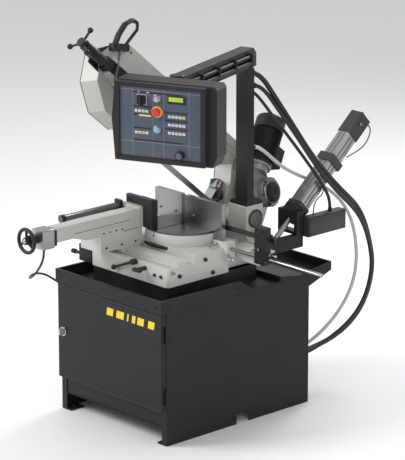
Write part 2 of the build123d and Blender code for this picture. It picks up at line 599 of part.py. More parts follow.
ball_r, ball_reach = 14.0, 72.0
with BuildPart() as tension_handle:
    with BuildSketch(screw_plane.offset(-14)):
        Circle(9)
    extrude(amount=14 + screw_l + 2)
    with BuildSketch(screw_plane.offset(screw_l + gap)):
        Circle(22)
    extrude(amount=30)
    for turn in (20, 140, 260):
        spoke = across * cos(radians(turn)) + normal * sin(radians(turn))
        root = screw_plane.origin + along * (screw_l + 15)
        with BuildSketch(Plane(origin=root, z_dir=spoke)):
            Circle(6)
        extrude(amount=ball_reach)
        with Locations(Plane(origin=root + spoke * ball_reach, z_dir=spoke).location):
            Sphere(ball_r)
write(tension_handle, "tension_handle")

# ---- lifting handle on the bow's tip ---------------------------------------------------------
grip_c = -plate_n - plate_t - 14
with BuildPart() as lift_handle:
    with BuildSketch(bow.offset(-plate_n - plate_t)):
        with Locations((idler_l + 100, high_w - 62)):
            Rectangle(120, 36, rotation=-28)
    extrude(amount=-28)
    grip = [(idler_l + 138, high_w - 72), (idler_l + 128, high_w + 10), (idler_l + 84, high_w + 104),
            (idler_l + 34, high_w + 118), (idler_l + 22, high_w + 84), (idler_l + 66, high_w - 30)]
    with BuildLine(bow.offset(grip_c)) as grip_line:
        FilletPolyline(*grip, radius=16)
    with BuildSketch(Plane(origin=grip_line.line @ 0, z_dir=grip_line.line % 0)):
        Circle(8)
    sweep(path=grip_line.line)
write(lift_handle, "lift_handle")

# ---- blade guides ----------------------------------------------------------------------------
cut = Plane(origin=bow_o, x_dir=along, z_dir=(-1, 0, 0))      # x along, y up in the cut
blade_slot = 2.2
guide_r0 = drive_l + 166                   # end of the rear guide
with BuildPart() as rear_guide:
    with BuildSketch(cut.offset(-30)):
        with BuildLine():
            Polyline((guide_r0, 3), (-28, 3), (-28, 62), (-44, 80), (guide_r0, 80), close=True)
        make_face()
    extrude(amount=60)
    with BuildSketch(cut.offset(-blade_slot / 2)):
        with Locations((-60, 0)):
            Rectangle(90, 2 * (blade_w / 2 + 1))
    extrude(amount=blade_slot, mode=Mode.SUBTRACT)
    with BuildSketch(bow.offset(-26)):                # foot on the bow's inner wall
        with Locations(((guide_r0 - 3.8 - 40) / 2, 100)):
            Rectangle(-40 - guide_r0 + 3.8, 50)
    extrude(amount=48)
write(rear_guide, "rear_guide")

with BuildPart() as front_guide:
    with BuildSketch(cut.offset(-25)):
        with BuildLine():
            Polyline((guide_l, 3), (guide_l1, 3), (guide_l1, 40), (guide_l1 - 24, 62), (guide_l + 12, 62),
                     (guide_l, 50), close=True)
        make_face()
    extrude(amount=38)
    with BuildSketch(cut.offset(-blade_slot / 2)):
        with Locations(((guide_l + guide_l1) / 2, 0)):
            Rectangle(140, 2 * (blade_w / 2 + 1))
    extrude(amount=blade_slot, mode=Mode.SUBTRACT)
    with BuildSketch(bow.offset(-14)):
        with Locations(((guide_l + guide_l1) / 2, 132)):
            Rectangle(40, 154)
    extrude(amount=24)
    with BuildSketch(bow.offset(-24)):
        with Locations(((guide_l + guide_l1) / 2, beam_w - gap - 8)):
            Rectangle(96, 16)
    extrude(amount=44)
write(front_guide, "front_guide")

# ---- feed cylinder ---------------------------------------------------------------------------
slope = radians(feed_deg)
feed_dir = Vector(0, cos(slope), sin(slope))
feed_up = Vector(0, -sin(slope), cos(slope))
feed_o = Vector(feed_x, feed_y, feed_z)
barrel_s0, cap_s0, cap_s1 = 210.0, 655.0, 790.0
yoke_s = -48.2                             # yoke at rest
rod_r = 14.0


def feed_plane(s):
    return Plane(origin=feed_o + feed_dir * s, x_dir=(1, 0, 0), z_dir=feed_dir)


with BuildPart() as feed_cylinder:
    with BuildSketch(feed_plane(barrel_s0 - 20)):
        RectangleRounded(85, 85, 4)
    extrude(amount=22)
    with BuildSketch(feed_plane(barrel_s0)):
        RectangleRounded(75, 75, 5)
        for side in (-1, 1):                    # shallow slots of the profile
            with Locations((side * 37, 12), (side * 37, -12), (12, side * 37), (-12, side * 37)):
                Rectangle(6, 6, mode=Mode.SUBTRACT)
    extrude(amount=cap_s0 - barrel_s0)
    with BuildSketch(feed_plane(cap_s0)):
        RectangleRounded(80, 84, 4)
    extrude(amount=cap_s1 - cap_s0)
    with BuildSketch(feed_plane(barrel_s0 - 21)):
        Circle(rod_r + fit)
    extrude(amount=430, mode=Mode.SUBTRACT)
write(feed_cylinder, "feed_cylinder")

clamp_s = 475.0
with BuildPart() as cylinder_clamp:
    with BuildSketch(feed_plane(clamp_s)):
        Rectangle(92, 98)
        RectangleRounded(75.4, 75.4, 5, mode=Mode.SUBTRACT)
    extrude(amount=40)
    clamp_o = feed_o + feed_dir * (clamp_s + 20)
    with BuildSketch(Plane(origin=clamp_o - feed_up * 48, x_dir=(1, 0, 0), z_dir=feed_up * -1)):
        Rectangle(24, 26)
    extrude(amount=22)
    with BuildSketch(Plane(origin=clamp_o - feed_up * 62, x_dir=(1, 0, 0), z_dir=feed_dir)):
        Circle(6)
    extrude(amount=62)
write(cylinder_clamp, "cylinder_clamp")

yoke_h = 28.0
with BuildPart() as cylinder_rod:
    with BuildSketch(feed_plane(yoke_s + 26)):
        Circle(rod_r)
    extrude(amount=barrel_s0 + 300 - yoke_s - 26)
    yoke_o = feed_o + feed_dir * yoke_s
    yoke_plane = Plane(origin=yoke_o - Vector(yoke_h / 2, 0, 0), x_dir=feed_dir, z_dir=(1, 0, 0))
    with BuildSketch(yoke_plane):
        with Locations((6, 0)):
            RectangleRounded(64, 62, 8)
    extrude(amount=yoke_h)
    with BuildSketch(yoke_plane.offset(-1)):
        SlotOverall(2 * pin_r + 13, 2 * pin_r + 1, rotation=90)
    extrude(amount=yoke_h + 2, mode=Mode.SUBTRACT)
write(cylinder_rod, "cylinder_rod")

flange_o = feed_o + feed_dir * (barrel_s0 - 20.2)
flange_top, flange_low = flange_o + feed_up * 42, flange_o - feed_up * 42
with BuildPart() as cylinder_bracket:
    block(205, 340, bracket_y0, bracket_y1, bracket_z0 + 0.2, 990)
    wedge = [(bracket_y0, 960), (bracket_y0, 990), (flange_top.Y, flange_top.Z), (flange_low.Y, flange_low.Z), (bracket_y1 - 1, 932)]
    outline(yz(236), wedge, 82)
    with BuildSketch(feed_plane(0)):
        Circle(rod_r + 4)
    extrude(amount=barrel_s0, mode=Mode.SUBTRACT)
    block(228, 318, bracket_y0 - 1, bracket_y1 + 1, 886, 922, Mode.SUBTRACT)
write(cylinder_bracket, "cylinder_bracket")

box_x0, box_x1, box_y0, box_y1, box_z0, box_z1 = 320.0, 375.0, bracket_y1 + 0.2, 752.0, 857.0, 957.0
with BuildPart() as valve_box:
    block(box_x0, box_x1, box_y0, box_y1, box_z0, box_z1)
    fillet(valve_box.edges().filter_by(Axis.Y), 4)
write(valve_box, "valve_box")

# ---- fence plates, bracket and stop ----------------------------------------------------------
fence_gap = 24.0
with BuildPart() as fence_left:
    block(-221, blade_x - fence_gap / 2, 0, fence_t, table_z + 0.3, fence_top)
    fillet(fence_left.edges().filter_by(Axis.Y).group_by(Axis.Z)[-1], 5)
write(fence_left, "fence_left")

with BuildPart() as fence_right:
    block(blade_x + fence_gap / 2, 262, 0, fence_t, table_z + 0.3, fence_top)
    block(disc_r + 6, 262, 0, fence_t, 914, table_z + 1)
    fillet(fence_right.edges().filter_by(Axis.Y).group_by(Axis.Z)[-1], 5)
write(fence_right, "fence_right")

stop_y, stop_z, stop_rod_r = 20.0, 880.0, 9.5
with BuildPart() as fence_bracket:
    block(disc_r + 8, cast_x - 1, -10, 60, cast_top_z + 0.2, 912)
    block(cast_x + 0.2, 308, -10, cast_y1 + 20, 822, 912)
    block(cast_x - 2, cast_x + 1, -10, 60, cast_top_z + 0.2, 912)
    with Locations((308, stop_y, stop_z)):
        Cylinder(stop_rod_r, 52, rotation=(0, 90, 0), mode=Mode.SUBTRACT)
write(fence_bracket, "fence_bracket")

with BuildPart() as stop_rod:
    with BuildSketch(yz(cast_x + 1.7)):
        with Locations((stop_y, stop_z)):
            Circle(stop_rod_r)
    extrude(amount=930 - cast_x)
    chamfer(stop_rod.faces().sort_by(Axis.X)[-1].edges(), 1.5)
write(stop_rod, "stop_rod")

stop_x0, stop_x1 = 495.0, 566.0
bar_z, bar_y = 971.0, 46.0
with BuildPart() as stop_clamp:
    block(stop_x0, stop_x1, stop_y - 25, stop_y + 18, stop_z - 28, 1036)
    block(stop_x0 + 10, stop_x1 - 10, stop_y + 17, bar_y + 16, bar_z - 24, bar_z + 24)
    with Locations((stop_x0, stop_y, stop_z)):
        Cylinder(stop_rod_r + fit, 200, rotation=(0, 90, 0), mode=Mode.SUBTRACT)
    block(stop_x0 - 1, stop_x1 + 1, bar_y - 6.2, bar_y + 6.2, bar_z - 11.2, bar_z + 11.2, Mode.SUBTRACT)
write(stop_clamp, "stop_clamp")

with BuildPart() as stop_bar:
    block(112, 590, bar_y - 6, bar_y + 6, bar_z - 11, bar_z + 11)
    fillet(stop_bar.edges().filter_by(Axis.Y), 8)
write(stop_bar, "stop_bar")

# ---- vise ------------------------------------------------------------------------------------
carriage_z0 = cast_shelf_z + gap
carriage_top = table_z + 1
arm_z0v, arm_top = carriage_top + gap, 1048.0
with BuildPart() as vise_carriage:
    block(-243, -92, -474, cast_step_y - 8, carriage_z0 + rail_h + 2, carriage_top)
    block(-243, -92, rail_y0 - 34, rail_y1 + 30, carriage_z0, carriage_z0 + rail_h + 3)
    outline(yz(-175), [(rail_y0 - gap, cast_shelf_z - 1), (rail_y0 - rail_flare - gap - 0.2, cast_shelf_z + rail_h + 0.6),
                       (rail_y1 + rail_flare + gap + 0.2, cast_shelf_z + rail_h + 0.6), (rail_y1 + gap, cast_shelf_z - 1)],
            100, both=True, mode=Mode.SUBTRACT)
    for x0, x1 in ((arm_x0 - 14, arm_x0 - gap), (arm_x1 + gap, arm_x1 + 5)):     # cheeks that guide the arm
        block(x0, x1, -470, -322, carriage_top - 2, arm_z0v + 34)
write(vise_carriage, "vise_carriage")

tube_x, tube_z, tube_r = -230.0, 1041.0, 17.0
with BuildPart() as guide_tube:
    with BuildSketch(xz(-236)):
        with Locations((tube_x, tube_z)):
            Circle(tube_r)
    extrude(amount=354)
    block(tube_x - 22, tube_x + 22, -244, -228, arm_z0v, tube_z + 30)
    with Locations((tube_x, -600, tube_z)):
        Cylinder(tube_r + 3, 24, rotation=(90, 0, 0))
write(guide_tube, "guide_tube")

arm_front = -748.0
with BuildPart() as vise_arm:
    outline(yz(arm_x0), [(-224, arm_z0v), (-224, arm_top), (arm_front, arm_top), (arm_front, 976), (-640, 976), (-560, arm_z0v)],
            arm_x1 - arm_x0)
    fillet(vise_arm.edges().filter_by(Axis.Y), 4)
write(vise_arm, "vise_arm")

with BuildPart() as jaw_carrier:
    block(-235, -90, -224, -200, arm_z0v, 1057)
    fillet(jaw_carrier.edges().filter_by(Axis.Y).group_by(Axis.Z)[-1], 8)
write(jaw_carrier, "jaw_carrier")

with BuildPart() as jaw_plate:
    block(-213, -26, -200, -178, arm_z0v, 1099)
    fillet(jaw_plate.edges().filter_by(Axis.Y).group_by(Axis.Z)[-1], 4)
    block(-135, -26, -179, -160, arm_z0v, 1094)
write(jaw_plate, "jaw_plate")

actuator_y0 = arm_front - 17
with BuildPart() as vise_actuator:
    block(arm_x0 - 8, arm_x1, actuator_y0 - 1, arm_front - 0.2, 963, 1038)
    block(-180, -96, actuator_y0 - 73, actuator_y0, 955, 1050)
    fillet(vise_actuator.edges().filter_by(Axis.Y).group_by(Axis.Z)[-1], 7)
    disc(xz(actuator_y0 - 20), (-145, 1005), 12 + gap, 60, Mode.SUBTRACT)
write(vise_actuator, "vise_actuator")

wheel_x, wheel_z, hand_y, hand_r = -145.0, 1005.0, -898.0, 66.0
with BuildPart() as vise_handwheel:
    disc(xz(actuator_y0 - 24), (wheel_x, wheel_z), 12, 90)
    disc(xz(actuator_y0 - 73 - gap), (wheel_x, wheel_z), 24, 50)
    with Locations(Location((wheel_x, hand_y, wheel_z), (90, 0, 0))):
        Torus(hand_r - 9, 9)
    for turn in (90, 210, 330):
        spoke = Vector(cos(radians(turn)), 0, sin(radians(turn)))
        with BuildSketch(Plane(origin=Vector(wheel_x, hand_y, wheel_z), z_dir=spoke)):
            Circle(7)
        extrude(amount=hand_r - 8)
    disc(xz(hand_y + 12), (wheel_x, wheel_z), 18, 24)
write(vise_handwheel, "vise_handwheel")

# ---- locks on the casting's front ------------------------------------------------------------
with BuildPart() as table_lock:
    disc(xz(cast_y0 - gap), (lever_x, lever_z), 11, 44)
    block(lever_x - 28, lever_x + 28, cast_y0 - 62, cast_y0 - 44, lever_z - 8, lever_z + 8)
    fillet(table_lock.edges().filter_by(Axis.Y), 5)
write(table_lock, "table_lock")

lever_fall = atan2(60, 150)
lock_o = Vector(52, cast_y0 - 18, 842)
lock_dir = Vector(-cos(lever_fall), 0, -sin(lever_fall))
with BuildPart() as vise_lock:
    disc(xz(cast_y0 - gap), (52, 842), 15, 26)
    with BuildSketch(Plane(origin=lock_o, z_dir=lock_dir)):
        Circle(6)
    extrude(amount=150)
    with Locations(Plane(origin=lock_o + lock_dir * 154, z_dir=lock_dir).location):
        Sphere(13)
write(vise_lock, "vise_lock")

with BuildPart() as index_stop:
    block(-372, -cast_x - 0.2, cast_y0 + 2, cast_y0 + 34, 757, 842)
    for x0, length, r in ((-440, 110, 8), (-440, 24, 12)):
        with BuildSketch(yz(x0)):
            with Locations((cast_y0 + 18, 787)):
                Circle(r)
        extrude(amount=length)
write(index_stop, "index_stop")

# ---- hoses: straight runs joined by the largest tangent arcs ----------------------------------
column_back = column_y0 + column_d
main_hose = [
    (185, column_back + 0.2, 1700), (185, 292, 1700), (204, 338, 1660), (244, 362, 1590), (300, 420, 1462),
    (342, 538, 1264), (348, 683, 1109), (348, 792, 1011), (340, 862, 952), (331, 932, 860), (322, 985, 735),
    (315, 1020, 611), (302, 1010, 480), (290, 960, 368), (270, 880, 285), (250, 775, 232), (236, 655, 208),
    (228, 575, entry_z), (228, half_d - 8, entry_z),
]
second_hose = [
    (206, column_back + 0.2, 1640), (206, 290, 1640), (228, 334, 1600), (276, 364, 1520), (334, 432, 1390),
    (374, 540, 1212), (381, 683, 1060), (381, 785, 970), (374, 850, 905), (365, 912, 815), (356, 956, 705),
    (348, 980, 600), (336, 968, 490), (322, 922, 390), (304, 850, 314), (284, 755, 258), (270, 645, 218),
    (264, 570, entry_z), (264, half_d - 8, entry_z),
]
return_hose = [
    (200, column_back + 0.2, 1330), (200, 288, 1330), (199, 340, 1300), (194, 410, 1244), (192, 480, 1190),
    (194, 560, 1142), (200, 656, 1096), (215, 750, 1048), (238, 840, 975), (258, 908, 870), (268, 940, 745),
    (266, 952, 611), (256, 932, 490), (242, 872, 385), (224, 790, 300), (206, 690, 235), (194, 590, entry_z),
    (190, 540, entry_z), (190, half_d - 8, entry_z),
]
signal_cable = [
    (160, column_back + 0.2, 1610), (160, 288, 1610), (182, 330, 1566), (232, 370, 1478), (296, 436, 1356),
    (330, 530, 1220), (336, 600, 1128), (341, 650, 1056), (343, 671, 1000), (343, 671, box_z1 + 0.2),
]
jaw_hose = [
    (-120, -812, 954.8), (-120, -812, 915), (-134, -822, 868), (-176, -822, 818), (-238, -800, 780), (-306, -752, 756),
    (-366, -690, 744), (-410, -620, 730), (-432, -550, 706), (-440, -496, 672), (-428, -464, 645),
    (-half_w - 0.2, -464, 645),
]


def arc_radii(points):
    """The largest arc that each corner's two runs allow."""
    radii = []
    for before, here, after in zip(points, points[1:], points[2:]):
        run_in, run_out = Vector(*here) - Vector(*before), Vector(*after) - Vector(*here)
        shorter = min(run_in.length, run_out.length)
        radii.append(0.45 * shorter / tan(radians(run_in.get_angle(run_out)) / 2))
    return radii


def hose(points, diameter, label):
    radii = arc_radii(points)
    with BuildPart() as tube:
        with BuildLine() as route:
            FilletPolyline(*points, radius=radii)
        with BuildSketch(Plane(origin=route.line @ 0, z_dir=route.line % 0)):
            Circle(diameter / 2)
        sweep(path=route.line)
    write(tube, label)
    length = sum(edge.length for edge in route.edges())
    runs = [hypot(*(b - a for a, b in zip(p, q))) for p, q in zip(points, points[1:])]
    section = 3.141593 * (diameter / 2) ** 2
    print(label, "length", round(length), "smallest radius", round(min(radii)), "runs", round(min(runs)),
          round(max(runs)), "volume ratio", round(tube.part.volume / section / length, 4))


hose(main_hose, 26, "main_hose")
hose(second_hose, 20, "second_hose")
hose(return_hose, 18, "return_hose")
hose(signal_cable, 16, "signal_cable")
hose(jaw_hose, 11, "jaw_hose")
print("done")
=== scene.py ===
import bmesh
import bpy
from math import cos, hypot, pi, radians, sin
from mathutils import Matrix, Vector


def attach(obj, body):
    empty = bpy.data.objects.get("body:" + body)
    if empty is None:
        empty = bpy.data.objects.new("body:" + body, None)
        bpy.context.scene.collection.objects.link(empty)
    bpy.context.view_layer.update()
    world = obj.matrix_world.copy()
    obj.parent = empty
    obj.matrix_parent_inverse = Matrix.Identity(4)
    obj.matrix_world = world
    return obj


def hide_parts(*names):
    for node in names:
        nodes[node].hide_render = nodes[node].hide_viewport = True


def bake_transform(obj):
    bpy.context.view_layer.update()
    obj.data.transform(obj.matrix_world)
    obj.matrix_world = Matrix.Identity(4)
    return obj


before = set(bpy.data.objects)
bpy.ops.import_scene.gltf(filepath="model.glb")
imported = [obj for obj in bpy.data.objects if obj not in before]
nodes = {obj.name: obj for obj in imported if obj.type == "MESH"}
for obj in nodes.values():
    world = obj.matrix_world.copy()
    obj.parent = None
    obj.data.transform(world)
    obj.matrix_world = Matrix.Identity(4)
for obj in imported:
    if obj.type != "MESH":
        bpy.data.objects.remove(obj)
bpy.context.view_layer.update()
print("frame loaded:", len(nodes), "nodes")

# ---- places shared by several pieces, in metres ----
raised, leaning = radians(40), radians(16)
bowAlong = Vector((0, -cos(raised), sin(raised)))
bowOut = Vector((cos(leaning), sin(leaning) * sin(raised), sin(leaning) * cos(raised)))
bowAcross = Vector((-sin(leaning), cos(leaning) * sin(raised), cos(leaning) * cos(raised)))
bowOrigin = Vector((-0.012, 0.132, 1.06))
feedAlong = Vector((0, cos(radians(41.3)), sin(radians(41.3))))
feedUp = Vector((0, -feedAlong.z, feedAlong.y))
feedOrigin = Vector((0.28, 0.3584, 0.864))
panelTurn, boomTurn = radians(24), radians(18.8)
panelRight = Vector((cos(panelTurn), sin(panelTurn), 0))
panelOut = Vector((sin(panelTurn), -cos(panelTurn), 0))
boomAlong = Vector((sin(boomTurn), -cos(boomTurn), 0))
columnTop = Vector((0.1775, 0.237, 1.734))
panelOrigin = Vector((columnTop.x, columnTop.y, 1.645)) + boomAlong * 0.7 + panelOut * 0.201
up = Vector((0, 0, 1))
toFront, toBack, toLeft, toRight = (0, -1, 0), (0, 1, 0), (-1, 0, 0), (1, 0, 0)


def place(origin, right, upward, outward):
    m = Matrix((right, upward, outward)).transposed().to_4x4()
    m.translation = origin
    return m


def bowPoint(along, across, out):
    return bowOrigin + bowAlong * along + bowAcross * across + bowOut * out


def bowPlace(along, across, out):
    return place(bowPoint(along, across, out), bowAlong, bowAcross, bowOut)


def feedPlace(s, side=0.0, high=0.0):
    return place(feedOrigin + feedAlong * s + Vector((side, 0, 0)) + feedUp * high, Vector((1, 0, 0)),
                 feedUp, -feedAlong)


def panelPlace(x, y, z=0.0):
    return place(panelOrigin + panelRight * x + up * y + panelOut * z, panelRight, up, panelOut)


def shift(x, y, z):
    return Matrix.Translation((x, y, z))


def spin(angle, axis="Z"):
    return Matrix.Rotation(angle, 4, axis)


def facing(origin, outward):
    out = Vector(outward).normalized()
    helper = up if abs(out.z) < 0.9 else Vector((0, 1, 0))
    right = helper.cross(out).normalized()
    return place(Vector(origin), right, out.cross(right), out)


# ---- surface effects ----
def newGroup(name, inputs, outputs):
    group = bpy.data.node_groups.new(name, "ShaderNodeTree")
    for label, kind, value in inputs:
        socket = group.interface.new_socket(label, in_out="INPUT", socket_type=kind)
        socket.default_value = value
    for label, kind in outputs:
        group.interface.new_socket(label, in_out="OUTPUT", socket_type=kind)
    return group, group.nodes.new("NodeGroupInput"), group.nodes.new("NodeGroupOutput")


def setInputs(node, values):
    for key, value in values.items():
        node.inputs[key].default_value = value


def addNode(tree, kind, values=None, **settings):
    node = tree.nodes.new(kind)
    for key, value in settings.items():
        setattr(node, key, value)
    setInputs(node, values or {})
    return node


def linkIn(tree):
    return lambda a, output, b, entry: tree.links.new(a.outputs[output], b.inputs[entry])


def makeGrain():
    # grain stretched along one direction, with slow blotches and fine speckle
    group, source, sink = newGroup("surfaceGrain", [
        ("Color", "NodeSocketColor", (0.5, 0.5, 0.5, 1)),
                ("Second Color", "NodeSocketColor", (0.4, 0.4, 0.4, 1)),
        ("Stretch", "NodeSocketVector", (1, 1, 1)), ("Grain Scale", "NodeSocketFloat", 400),
        ("Blotch Scale", "NodeSocketFloat", 6), ("Roughness", "NodeSocketFloat", 0.5),
        ("Roughness Spread", "NodeSocketFloat", 0.1), ("Grain Mix", "NodeSocketFloat", 0.3)],
        [("Color", "NodeSocketColor"), ("Roughness", "NodeSocketFloat"), ("Height", "NodeSocketFloat")])
    link = linkIn(group)
    coordinates = addNode(group, "ShaderNodeTexCoord")
    stretched = addNode(group, "ShaderNodeVectorMath", operation="MULTIPLY")
    link(coordinates, "Object", stretched, 0)
    link(source, "Stretch", stretched, 1)
    grain = addNode(group, "ShaderNodeTexNoise", {"Detail": 3.0, "Roughness": 0.6})
    link(stretched, 0, grain, "Vector")
    link(source, "Grain Scale", grain, "Scale")
    blotch = addNode(group, "ShaderNodeTexNoise", {"Detail": 4.0, "Roughness": 0.55})
    link(coordinates, "Object", blotch, "Vector")
    link(source, "Blotch Scale", blotch, "Scale")
    both = addNode(group, "ShaderNodeMix", data_type="FLOAT")
    link(source, "Grain Mix", both, 0)
    link(blotch, "Fac", both, 2)
    link(grain, "Fac", both, 3)
    contrast = addNode(group, "ShaderNodeMapRange", {"From Min": 0.3, "From Max": 0.7})
    link(both, 0, contrast, "Value")
    colour = addNode(group, "ShaderNodeMix", data_type="RGBA")
    link(contrast, 0, colour, 0)
    link(source, "Color", colour, 6)
    link(source, "Second Color", colour, 7)
    centred = addNode(group, "ShaderNodeMath", {1: 0.5}, operation="SUBTRACT")
    link(both, 0, centred, 0)
    rough = addNode(group, "ShaderNodeMath", operation="MULTIPLY_ADD")
    link(centred, 0, rough, 0)
    link(source, "Roughness Spread", rough, 1)
    link(source, "Roughness", rough, 2)
    link(colour, 2, sink, "Color")
    link(rough, 0, sink, "Roughness")
    link(grain, "Fac", sink, "Height")
    return group


def makeDust():
    # pale dust that settles on faces that look up
    group, source, sink = newGroup("settledDust", [
        ("Color", "NodeSocketColor", (0.5, 0.5, 0.5, 1)),
                ("Dust Color", "NodeSocketColor", (0.35, 0.34, 0.32, 1)),
        ("Amount", "NodeSocketFloat", 0.2)], [("Color", "NodeSocketColor")])
    link = linkIn(group)
    geometry = addNode(group, "ShaderNodeNewGeometry")
    split = addNode(group, "ShaderNodeSeparateXYZ")
    link(geometry, "Normal", split, 0)
    upward = addNode(group, "ShaderNodeMapRange", {"From Min": 0.3, "From Max": 1.0})
    link(split, "Z", upward, "Value")
    coordinates = addNode(group, "ShaderNodeTexCoord")
    patches = addNode(group, "ShaderNodeTexNoise", {"Scale": 9.0, "Detail": 6.0, "Roughness": 0.7})
    link(coordinates, "Object", patches, "Vector")
    mask = addNode(group, "ShaderNodeMath", operation="MULTIPLY")
    link(upward, 0, mask, 0)
    link(patches, "Fac", mask, 1)
    scaled = addNode(group, "ShaderNodeMath", operation="MULTIPLY")
    link(mask, 0, scaled, 0)
    link(source, "Amount", scaled, 1)
    mixed = addNode(group, "ShaderNodeMix", data_type="RGBA")
    link(scaled, 0, mixed, 0)
    link(source, "Color", mixed, 6)
    link(source, "Dust Color", mixed, 7)
    link(mixed, 2, sink, "Color")
    return group


grainGroup, dustGroup = makeGrain(), makeDust()


def makeMaterial(name, look):
    material = bpy.data.materials.new(name)
    material.use_nodes = True
    tree = material.node_tree
    shader = tree.nodes["Principled BSDF"]
    setInputs(shader, {"Metallic": look.get("metallic", 0.0), "Coat Weight": look.get("coat", 0.0),
                       "Coat Roughness": 0.25, "Specular IOR Level": look.get("specular", 0.5)})
    grain = addNode(tree, "ShaderNodeGroup", {
        "Color": (*look["color"], 1), "Second Color": (*look["second"], 1),
                "Stretch": look.get("stretch", (1, 1, 1)),
        "Grain Scale": look["grain"], "Blotch Scale": look.get("blotch", 6), "Roughness": look["rough"],
        "Roughness Spread": look.get("spread", 0.15), "Grain Mix": look.get("mix", 0.3)},
                    node_tree=grainGroup)
    dust = addNode(tree, "ShaderNodeGroup", {"Amount": look.get("dust", 0.0)}, node_tree=dustGroup)
    bump = addNode(tree, "ShaderNodeBump", {"Strength": look.get("bump", 0.1), "Distance": 0.0005})
    link = linkIn(tree)
    link(grain, "Color", dust, "Color")
    link(dust, "Color", shader, "Base Color")
    link(grain, "Roughness", shader, "Roughness")
    link(grain, "Height", bump, "Height")
    link(bump, "Normal", shader, "Normal")
    if "glow" in look:
        setInputs(shader, {"Emission Strength": look["glow"], "Emission Color": (*look["color"], 1)})
    return material


looks = {
    "blackPowder": dict(color=(0.008, 0.008, 0.0085), second=(0.014, 0.014, 0.0145), grain=900, rough=0.45,
                        bump=0.25, dust=0.05, specular=0.28),
    "blackFrame": dict(color=(0.01, 0.01, 0.011), second=(0.018, 0.018, 0.019), grain=700, rough=0.4,
                       bump=0.15, dust=0.04, specular=0.3),
    "bowPaint": dict(color=(0.4, 0.41, 0.375), second=(0.44, 0.45, 0.415), grain=650, rough=0.4, bump=0.1,
                     coat=0.15),
    "armPaint": dict(color=(0.47, 0.465, 0.425), second=(0.52, 0.515, 0.475), grain=600, rough=0.42,
                     bump=0.12, coat=0.1),
    "castPaint": dict(color=(0.53, 0.53, 0.5), second=(0.6, 0.6, 0.57), grain=260, rough=0.45, bump=0.3,
                      blotch=11, dust=0.1),
    "groundSteel": dict(color=(0.36, 0.36, 0.355), second=(0.26, 0.26, 0.255), grain=120,
                        stretch=(1, 22, 22), rough=0.3,
                        metallic=1.0, bump=0.08, mix=0.75),
    "wearPlate": dict(color=(0.17, 0.17, 0.168), second=(0.11, 0.11, 0.108), grain=130, stretch=(22, 1, 22),
                      rough=0.34,
                      metallic=1.0, bump=0.08, mix=0.7),
    "brightSteel": dict(color=(0.46, 0.46, 0.455), second=(0.36, 0.36, 0.355), grain=90, stretch=(2, 30, 30),
                        rough=0.24,
                        metallic=1.0, bump=0.05, mix=0.6),
    "darkSteel": dict(color=(0.045, 0.045, 0.047), second=(0.075, 0.075, 0.076), grain=110,
                      stretch=(1, 20, 20), rough=0.38,
                      metallic=0.85, bump=0.12, mix=0.6),
    "tubeSteel": dict(color=(0.13, 0.13, 0.13), second=(0.2, 0.2, 0.2), grain=90, stretch=(25, 1, 25),
                      rough=0.3,
                      metallic=1.0, bump=0.08, mix=0.6),
    "extrusion": dict(color=(0.5, 0.5, 0.51), second=(0.4, 0.4, 0.41), grain=90, stretch=(30, 3, 3),
                      rough=0.33,
                      metallic=1.0, bump=0.1, mix=0.7),
    "castAlloy": dict(color=(0.42, 0.42, 0.42), second=(0.3, 0.3, 0.3), grain=500, rough=0.42, metallic=0.8,
                      bump=0.3),
    "blackPlastic": dict(color=(0.014, 0.014, 0.015), second=(0.022, 0.022, 0.023), grain=1500, rough=0.48,
                         bump=0.3, dust=0.04, specular=0.3),
    "charcoal": dict(color=(0.03, 0.031, 0.033), second=(0.042, 0.043, 0.045), grain=900, rough=0.5,
                     bump=0.2),
    "greyCap": dict(color=(0.085, 0.087, 0.09), second=(0.11, 0.112, 0.115), grain=700, rough=0.45,
                    bump=0.15),
    "panelBlue": dict(color=(0.058, 0.068, 0.105), second=(0.066, 0.077, 0.116), grain=1800, rough=0.38,
                      bump=0.12, mix=0.5),
    "printBlack": dict(color=(0.006, 0.006, 0.007), second=(0.01, 0.01, 0.011), grain=1200, rough=0.4),
    "printPale": dict(color=(0.28, 0.31, 0.38), second=(0.33, 0.36, 0.43), grain=1200, rough=0.45),
    "keyWhite": dict(color=(0.7, 0.71, 0.72), second=(0.62, 0.63, 0.65), grain=1600, rough=0.35, coat=0.2),
    "keyYellow": dict(color=(0.62, 0.55, 0.1), second=(0.72, 0.64, 0.16), grain=1600, rough=0.35, coat=0.2),
    "displayGreen": dict(color=(0.34, 0.46, 0.015), second=(0.4, 0.52, 0.03), grain=2200, rough=0.2,
                         glow=0.12, coat=0.6),
    "stopRed": dict(color=(0.55, 0.012, 0.01), second=(0.65, 0.02, 0.015), grain=1500, rough=0.25, coat=0.7),
    "stopAmber": dict(color=(0.75, 0.28, 0.02), second=(0.8, 0.36, 0.03), grain=1500, rough=0.35, coat=0.3),
    "lampBlue": dict(color=(0.14, 0.36, 0.5), second=(0.2, 0.43, 0.58), grain=1500, rough=0.2, glow=0.05,
                     coat=0.8),
    "signYellow": dict(color=(0.8, 0.58, 0.01), second=(0.85, 0.64, 0.02), grain=1200, rough=0.4),
    "blackRubber": dict(color=(0.008, 0.008, 0.009), second=(0.016, 0.016, 0.017), grain=1300, rough=0.5,
                        bump=0.3),
    "paleHose": dict(color=(0.52, 0.52, 0.53), second=(0.6, 0.6, 0.61), grain=900, rough=0.38, bump=0.15,
                     coat=0.2),
    "bladeSteel": dict(color=(0.33, 0.33, 0.34), second=(0.24, 0.24, 0.25), grain=200, stretch=(30, 4, 4),
                       rough=0.28,
                       metallic=1.0, bump=0.05, mix=0.6),
}
materials = {name: makeMaterial(name, look) for name, look in looks.items()}
print("materials made:", len(materials))

